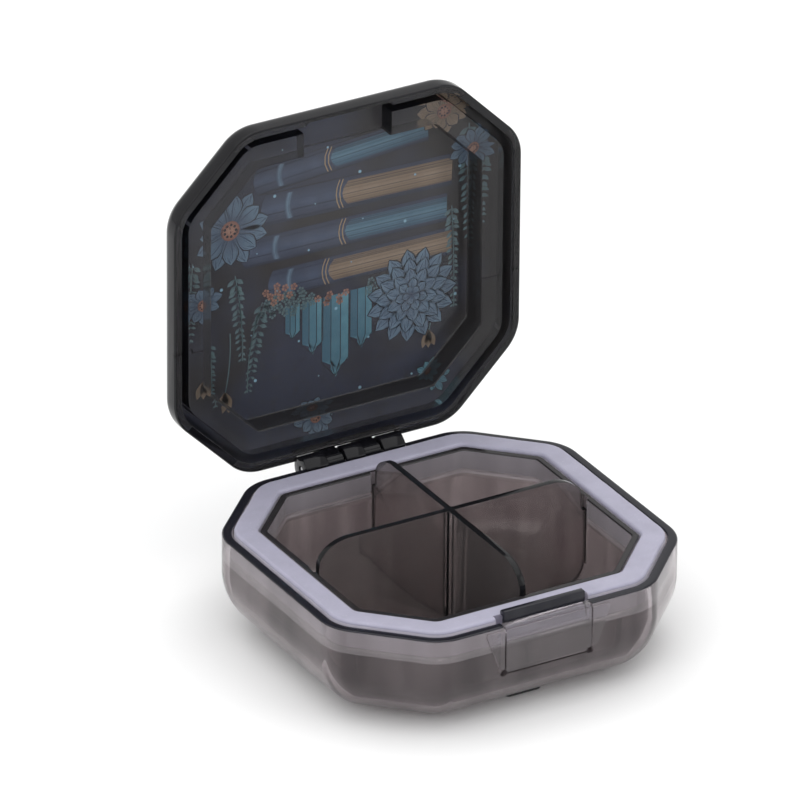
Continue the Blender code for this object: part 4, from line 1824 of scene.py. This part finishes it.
@dataclass
class Tray:
    """The inner tray with four compartments, and the lift-out divider that parts them."""

    box: Box
    outer: float = 6.7 * MM
    inner: float = 7.9 * MM
    base: float = 1.7 * MM
    floor: float = 2.7 * MM
    round: float = 5.0 * MM
    flange: float = 1.0 * MM
    gap: float = 0.3 * MM
    collar: float = 0.3 * MM
    slot: float = 0.5 * MM
    plate: float = 1.2 * MM
    rise: float = 5.0 * MM
    ease: float = 0.25 * MM
    post: float = 0.28 * MM
    step_in: float = 1.0 * MM
    step_drop: float = 1.9 * MM
    shoulder: Pair = (6.2 * MM, 4.6 * MM)
    collar_ease: Pair = (0.15 * MM, 0.2 * MM)
    plate_ease: float = 0.2 * MM
    post_ease: float = 0.1 * MM
    gate_radius: float = 5.2 * MM
    gate_depth: float = 0.12 * MM
    gate_at: Pair = (13.5 * MM, 12.5 * MM)

    def build(self, finishes: Finishes) -> None:
        """Makes the tray.

        Args:
            finishes: The box's finishes.
        """
        box, ease_out, ease_in = self.box, *self.collar_ease
        top, turn = box.rim_z + self.collar, self.round - (self.inner - self.outer)
        ledge = box.rim_z - box.seal_depth - self.gap
        edge, bend = box.wall + self.gap, self.round
        sections = arc((self.outer + bend, self.base + bend), (bend, bend), 270, 180, 18)
        sections += [
            (self.outer, ledge - self.flange),
            (edge, ledge - self.flange),
            (edge, ledge),
            (self.outer, ledge),
            (self.outer, top - ease_out),
            (self.outer + ease_out, top),
            (self.inner - ease_in, top),
            (self.inner, top - ease_in),
            (self.inner, ledge),
        ]
        sections += arc((self.inner + turn, self.floor + turn), (turn, turn), 180, 270, 18)
        tray = Solid.loft("tray", box.outline, sections)
        half, low, high = self.plate / 2 + self.gap, self.floor + turn, box.rim_z + PAST
        reach_x = box.outline.half_x - self.inner + self.slot
        reach_y = box.outline.half_y - self.inner + self.slot
        tray.cut(Solid.block("slots_across", (-reach_x, -half, low), (reach_x, half, high)))
        tray.cut(Solid.block("slots_along", (-half, -reach_y, low), (half, reach_y, high)))
        mark = Solid.prism("gate_mark", circle((0, 0), self.gate_radius, 64), Axis.X, 0, PAST)
        lying = Matrix.Translation((*self.gate_at, self.floor - self.gate_depth))
        mark.piece.data.transform(lying @ Matrix.Rotation(-math.pi / 2, 4, "Y"))
        tray.cut(mark)
        piece = tray.settle()

        def rule(centre: Vector, normal: Vector) -> int:
            """Dark on the collar's top, and pale on the collar's walls beside the seal as painted
            light.

            Args:
                centre: A face's centre.
                normal: Its direction.

            Returns:
                Its material's slot.
            """
            if centre.z > top - ease_in - HAIR:
                return 1
            # painted light: the collar's walls above the ledge are paler
            return 2 if centre.z > ledge and abs(normal.z) < 0.5 else 0

        dress(piece, finishes.pick(Finish.TRAY, Finish.TRAY_EDGE, Finish.TRAY_LIP), rule)
        place(piece, "base", Slot.TRAY, "inner_tray")

    def plate_profile(self, half_tray: float) -> Profile:
        """One divider plate from the side.

        Args:
            half_tray: Half of the tray's inner size along the plate.

        Returns:
            Its outline, as (along, z).
        """
        box = self.box
        reach, clear = half_tray + self.slot - self.ease, half_tray - self.ease
        low, corner = self.floor + self.ease, self.round - (self.inner - self.outer)
        ledge, neck = self.floor + corner + self.ease, reach - self.step_in
        step, top = box.rim_z - self.step_drop, box.rim_z + self.rise
        long, tall = self.shoulder
        half = arc((clear - corner, low + corner), (corner, corner), 270, 360, 14)
        half += [(clear, ledge), (reach, ledge), (reach, step), (neck, step)]
        half += arc((neck - long, top - tall), (long, tall), 0, 90, 20)
        return half + [(-along, z) for along, z in reversed(half)]

    def build_divider(self, finishes: Finishes) -> None:
        """Makes two crossed plates with eased edges.

        Args:
            finishes: The box's finishes.
        """
        box, outline, half = self.box, self.box.outline, self.plate / 2
        across = self.plate_profile(outline.half_x - self.inner)
        along = self.plate_profile(outline.half_y - self.inner)
        divider = Solid.prism("divider_plates", across, Axis.Y, -half, half)
        divider.join(Solid.prism("other_plate", along, Axis.X, -half, half))
        post, low = half + self.post, self.floor + self.ease + self.post_ease
        top = box.rim_z + self.rise - self.post_ease
        divider.join(Solid.block("crossing", (-post, -post, low), (post, post, top)))
        divider.soften(self.plate_ease, angle=50)
        piece = divider.settle()

        def rule(centre: Vector, normal: Vector) -> int:
            """Dark wherever a face isn't a plate's broad side.

            Args:
                centre: A face's centre.
                normal: Its direction.

            Returns:
                Its material's slot.
            """
            for turned, out, away in (
                (normal.y, centre.y, centre.x),
                (normal.x, centre.x, centre.y),
            ):
                broad = abs(turned) > 0.93 and abs(away) > half * 1.2
                if broad and abs(abs(out) - half) < HAIR:
                    return 0
            return 1

        dress(piece, finishes.pick(Finish.DIVIDER, Finish.DIVIDER_EDGE), rule)
        place(piece, "base", Slot.DIVIDER, "divider")


@dataclass
class Seal:
    """The soft ring in the groove between casing and tray."""

    box: Box
    round: float = 0.6 * MM
    notch_width: float = 18.4 * MM
    notch_depth: float = 2.6 * MM
    notch_ease: float = 0.8 * MM
    stray: float = 0.10 * MM
    foot_height: float = 1.5 * MM
    gap: float = 0.3 * MM
    firm_depth: float = 2 * MM
    firm_ring: int = 12

    def wander(self, point: Vector, ring: int) -> Vector:
        """Moves a point a little, as a trimmed soft edge does; never outwards of its groove.

        Args:
            point: The point.
            ring: Its ring's number.

        Returns:
            Where it goes.
        """
        if point.z < self.box.rim_z - self.firm_depth or ring > self.firm_ring:
            return point
        angle = math.atan2(point.y, point.x)
        waves = 0.5 * math.sin(23 * angle + 1.3) + 0.3 * math.sin(51 * angle)
        waves += 0.2 * math.sin(87 * angle + 2)
        inward = Vector((-point.x, -point.y, 0)).normalized()
        return point + inward * (self.stray / 2 * (1 - waves))

    def build(self, finishes: Finishes) -> None:
        """Makes the ring, notched at the front where the hook moves in.

        Args:
            finishes: The box's finishes.
        """
        box, r = self.box, self.round
        top, bottom = box.rim_z + box.seal_rise, box.rim_z - box.seal_depth
        outer, inner, foot = box.seal_outer, box.seal_inner, bottom + self.foot_height
        sections = [(outer, bottom), (outer, foot)]
        sections += arc((outer + r, top - r), (r, r), 180, 90, 8)
        sections += [(outer + (inner - outer) * share, top) for share in (0.35, 0.5, 0.65)]
        sections += arc((inner - r, top - r), (r, r), 90, 0, 8)
        sections += [(inner, foot), (inner, bottom)]
        ring = Solid.loft(
            "seal", box.outline, sections, closed=True, side_steps=36, wander=self.wander
        )
        half, edge, ease = self.notch_width / 2, -box.outline.half_y, self.notch_ease
        low = (-half, edge, box.rim_z - self.notch_depth - ease)
        ring.cut(Solid.block("notch", low, (half, edge + outer + self.gap + ease, top + PAST)))
        piece = ring.settle()

        def rule(centre: Vector, normal: Vector) -> int:
            """Painted light: a paler copy of the silicone below the rim."""
            return 1 if centre.z < box.rim_z - r / 2 else 0

        dress(piece, finishes.pick(Finish.SEAL, Finish.SEAL_FLANK_PAINTED_LIGHT), rule)
        place(piece, "base", Slot.SEAL, "seal_ring")


@dataclass
class Lid:
    """The lid with its sealing rib and knuckles, and the printed film under its face."""

    box: Box
    hinge: Hinge
    gap: float = 0.25 * MM
    inset: float = 0.3 * MM
    rise: float = 6.7 * MM
    wall: float = 1.5 * MM
    top: float = 1.2 * MM
    round_in: float = 5.5 * MM
    round_up: float = 4.0 * MM
    crown_inset: float = 14.0 * MM
    crown: float = 0.3 * MM
    channel: float = 1.6 * MM
    roof: float = 1.2 * MM
    rib: float = 4.6 * MM
    catch_wall: float = 0.8 * MM
    catch_width: float = 17.5 * MM
    catch_round: float = 0.9 * MM
    fillet: float = 0.35 * MM
    skirt_ease: float = 0.1 * MM
    rib_lift: float = 0.2 * MM
    dark_below: float = 2.2 * MM
    seam: float = 0.12 * MM
    seam_y: float = 7.0 * MM
    seam_step: float = 0.7 * MM
    seam_from: float = 8.2 * MM
    seam_to: float = 0.15 * MM
    seam_depth: float = 0.45 * MM

    def sections(self) -> Profile:
        """The shut lid's section, from the crown over skirt, channel and rib to the panel.

        Returns:
            Each ring's inset and height.
        """
        box, lip, ease, f = self.box, self.box.rim_round, self.skirt_ease, self.fillet
        top, edge = box.rim_z + self.rise, box.rim_z + self.gap
        shoulder, skirt = self.inset + self.round_in, self.inset + self.wall
        outer = skirt + self.channel
        inner, panel = outer + self.rib, top - self.top
        roof, foot = panel - self.roof, box.rim_z + box.seal_rise + self.rib_lift
        bend = (self.round_in, self.round_up)
        out = [(self.crown_inset, top), (shoulder + 3 * MM, top - self.crown * 0.8)]
        out += arc((shoulder, top - self.crown - self.round_up), bend, 90, 180, 26)
        out += arc((self.inset + lip, edge + lip), (lip, lip), 180, 270, 5)
        out += [(skirt - ease, edge), (skirt, edge + ease)]
        out += arc((skirt + f, roof - f), (f, f), 180, 90, 5)
        out += arc((outer - f, roof - f), (f, f), 90, 0, 5)
        out += arc((outer + lip, foot + lip), (lip, lip), 180, 270, 5)
        out += arc((inner - lip, foot + lip), (lip, lip), 270, 360, 5)
        return out + arc((inner + lip, panel - lip), (lip, lip), 180, 90, 6)

    def cut_seam(self, lid: Solid, side: int) -> None:
        """Cuts the fine stepped seam that the mould leaves across one flank's flange.

        Args:
            lid: The shut lid.
            side: -1 for the left flank and 1 for the right.
        """
        box, half = self.box, self.seam / 2
        far, near = box.outline.half_x - self.seam_from, box.outline.half_x - self.seam_to
        turn, low = (far + near) / 2, box.rim_z - PAST / 2
        high = box.rim_z + box.seal_rise + self.seam_depth
        ahead, behind = self.seam_y, self.seam_y - self.seam_step
        runs = (
            (far, turn + half, ahead - half, ahead + half),
            (turn - half, turn + half, behind - half, ahead + half),
            (turn - half, near, behind - half, behind + half),
        )
        for i, (x_low, x_high, y_low, y_high) in enumerate(runs):
            left, right = sorted((side * x_low, side * x_high))
            lid.cut(Solid.block(f"seam_{side}_{i}", (left, y_low, low), (right, y_high, high)))

    def cut_catch(self, lid: Solid) -> None:
        """Cuts the recess that the tab's hook moves in.

        Args:
            lid: The shut lid.
        """
        box, half, edge = self.box, self.catch_width / 2, -self.box.outline.half_y
        front = edge + self.inset + self.catch_wall
        back = edge + self.inset + self.wall + self.channel + self.rib + box.rim_round
        plan = [(-half, front), (half, front), (half, back), (-half, back)]
        height = self.rise - self.top - self.roof + PAST
        catch = Solid.prism("catch", rounded(plan, self.catch_round, 6), Axis.Y, 0, height)
        upright = Matrix(((1, 0, 0, 0), (0, 0, 1, 0), (0, 1, 0, 0), (0, 0, 0, 1)))
        catch.piece.data.transform(Matrix.Translation((0, 0, box.rim_z - PAST)) @ upright)
        catch.piece.data.flip_normals()
        lid.cut(catch)

    def build(self, finishes: Finishes) -> None:
        """Makes the lid, shut, and then opens it.

        Args:
            finishes: The box's finishes.
        """
        box, hinge, edge = self.box, self.hinge, self.box.outline.half_y
        lid = Solid.loft("lid", box.outline, self.sections())
        self.cut_catch(lid)
        reach, swung = hinge.ear_outer + hinge.gap, hinge.ear_radius + hinge.gap
        lid.cut(hinge.swing("ear_notch", swung, -reach, reach))
        low = (-reach, edge - box.wall + box.rim_round - hinge.gap, box.rim_z - PAST)
        lid.cut(Solid.block("rim_notch", low, (reach, edge + PAST, box.hinge_z + swung)))
        for side in (-1, 1):
            self.cut_seam(lid, side)
        skirt, top = edge - self.inset, box.rim_z + 2 * hinge.ear_radius
        radii = (hinge.knuckle_radius, hinge.knuckle_radius)
        head = arc((box.hinge_y, box.hinge_z), radii, -180, 40, 32)
        profile = head + [(skirt - box.rim_round, top), (skirt - self.wall / 2, top)]
        for i, (low, high) in enumerate(hinge.knuckles()):
            lid.join(Solid.prism(f"knuckle_{i}", profile, Axis.X, low, high))
        lid.cut(hinge.bore("knuckle_bore"))
        piece = lid.settle()

        def rule(centre: Vector, normal: Vector) -> int:
            """Dark on the skirt's outside and edge and at the knuckles, with painted shade on the
            rib's outer wall in the channel and on its inner wall round the panel.

            Args:
                centre: A face's centre.
                normal: Its direction.

            Returns:
                Its material's slot.
            """
            inset, top = box.outline.inset_at(centre.x, centre.y), box.rim_z + self.rise
            ribbed = self.inset + self.wall + self.channel
            if inset < self.inset + 0.6 * self.wall and centre.z < top - self.dark_below:
                return 1
            # painted shade: the rib's outer wall in the channel
            if abs(inset - ribbed) < 6 * HAIR and abs(normal.z) < 0.5:
                return 1
            # painted shade: the rib's inner wall round the panel
            flank = abs(inset - ribbed - self.rib) < 12 * HAIR
            return 2 if flank and abs(normal.z) < 0.8 and centre.z < top else 0

        dress(piece, finishes.pick(Finish.LID, Finish.LID_EDGE_AND_PAINTED_SHADE, Finish.LID_RECESS_PAINTED_SHADE), rule)
        place(box.opened(piece), "lid", Slot.LID, "lid_shell")

    def build_print(self, finishes: Finishes) -> None:
        """Makes the film and its motifs.

        Args:
            finishes: The box's finishes.
        """
        box = self.box
        artwork = LidPrint(box.outline, box.rim_z, box.rim_z + self.rise)
        film = artwork.sheet().settle(60)
        dress(film, finishes.pick(Finish.GROUND))
        place(box.opened(film), "lid", Slot.LID)
        motifs = artwork.motifs()
        for ink in finishes.inks:
            motifs.data.materials.append(ink)
        place(box.opened(motifs), "lid", Slot.LID)


# ---------------------------------------------------------------- studio


@dataclass(frozen=True)
class SoftLight:
    """A large soft lamp aimed at the box."""

    name: str
    place: Sequence[float]
    size: Pair
    watts: float
    aim: Sequence[float] = (0, 0, 30 * MM)

    def build(self) -> None:
        """Hangs the lamp."""
        lamp = bpy.data.lights.new(self.name, "AREA")
        lamp.shape, lamp.size, lamp.size_y = "RECTANGLE", *self.size
        lamp.energy = self.watts
        holder = bpy.data.objects.new(self.name, lamp)
        holder.location = self.place
        ray = Vector(self.aim) - Vector(self.place)
        holder.rotation_euler = ray.to_track_quat("-Z", "Y").to_euler()
        bpy.context.scene.collection.objects.link(holder)


@dataclass(frozen=True)
class Studio:
    """A pale floor, soft lamps and the camera."""

    azimuth: float = -30.3
    elevation: float = 27.5
    roll: float = 0.45
    distance: float = 2.2
    lens: float = 577.0
    aim: Sequence[float] = (-10.15 * MM, 0.0, 47.8 * MM)
    surround: float = 0.80
    floor_reach: float = 4.0
    floor_steps: int = 24

    def build(self) -> None:
        """Sets up the floor, the light and the camera."""
        self.build_floor()
        world = bpy.data.worlds.new("studio_white")
        world.use_nodes = True
        sky = world.node_tree.nodes["Background"]
        sky.inputs["Color"].default_value = (1, 1, 1, 1)
        sky.inputs["Strength"].default_value = self.surround
        bpy.context.scene.world = world
        for lamp in (
            SoftLight("overhead", (0.0, 0.1, 1.5), (2.2, 2.2), 15.0),
            SoftLight("left_bank", (-1.3, -0.6, 0.8), (1.0, 1.3), 5.0),
            SoftLight("right_bank", (1.2, -1.2, 0.7), (0.8, 1.2), 3.5),
        ):
            lamp.build()
        bpy.context.scene.view_settings.view_transform = "Standard"
        self.build_camera()

    def build_floor(self) -> None:
        """Lays a wide, pale, faintly uneven floor."""
        steps, reach = self.floor_steps, self.floor_reach
        marks = [reach * (2 * i / steps - 1) for i in range(steps + 1)]
        points = [(x, y, 0) for y in marks for x in marks]
        corners = [j * (steps + 1) + i for j in range(steps) for i in range(steps)]
        faces = [(a, a + 1, a + steps + 2, a + steps + 1) for a in corners]
        floor = bpy.data.objects.new("floor", bpy.data.meshes.new("floor"))
        floor.data.from_pydata(points, [], faces)
        bpy.context.scene.collection.objects.link(floor)
        made, nodes, shader = start_material("floor_white")
        cloud = nodes.noise(nodes.here(), 3, 2)
        paper = nodes.blend(cloud.outputs[0], (0.93, 0.93, 0.93), (0.95, 0.95, 0.95))
        nodes.wire(paper, shader.inputs["Base Color"])
        shader.inputs["Roughness"].default_value = 0.9
        shader.inputs["Specular IOR Level"].default_value = 0.1
        floor.data.materials.append(made)

    def build_camera(self) -> None:
        """Stands the camera at its angle."""
        around, above = math.radians(self.azimuth), math.radians(self.elevation)
        level, tilt = math.cos(above), math.radians(self.roll)
        back = Vector((math.sin(around) * level, -math.cos(around) * level, math.sin(above)))
        right = Vector((0, 0, 1)).cross(back).normalized()
        tilted = right * math.cos(tilt) + back.cross(right) * math.sin(tilt)
        camera = bpy.data.objects.new("camera", bpy.data.cameras.new("camera"))
        camera.data.lens, camera.data.clip_start, camera.data.clip_end = self.lens, 0.05, 20
        matrix = Matrix((tilted, back.cross(tilted), back)).transposed().to_4x4()
        matrix.translation = Vector(self.aim) + back * self.distance
        camera.matrix_world = matrix
        bpy.context.scene.collection.objects.link(camera)
        bpy.context.scene.camera = camera


def main() -> None:
    """Builds the box, piece by piece, and its studio."""
    logging.basicConfig(level=logging.INFO, format="%(name)s: %(message)s")
    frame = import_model()
    finishes = Finishes()
    box = Box.from_frame(frame)
    hinge = Hinge(box)
    hinge.build(finishes)
    casing = Casing(box, hinge)
    casing.build_shell(finishes)
    casing.build_feet(finishes)
    casing.build_tab(finishes)
    tray = Tray(box)
    tray.build(finishes)
    tray.build_divider(finishes)
    Seal(box).build(finishes)
    lid = Lid(box, hinge)
    lid.build(finishes)
    lid.build_print(finishes)
    Studio().build()


if __name__ == "__main__":
    main()
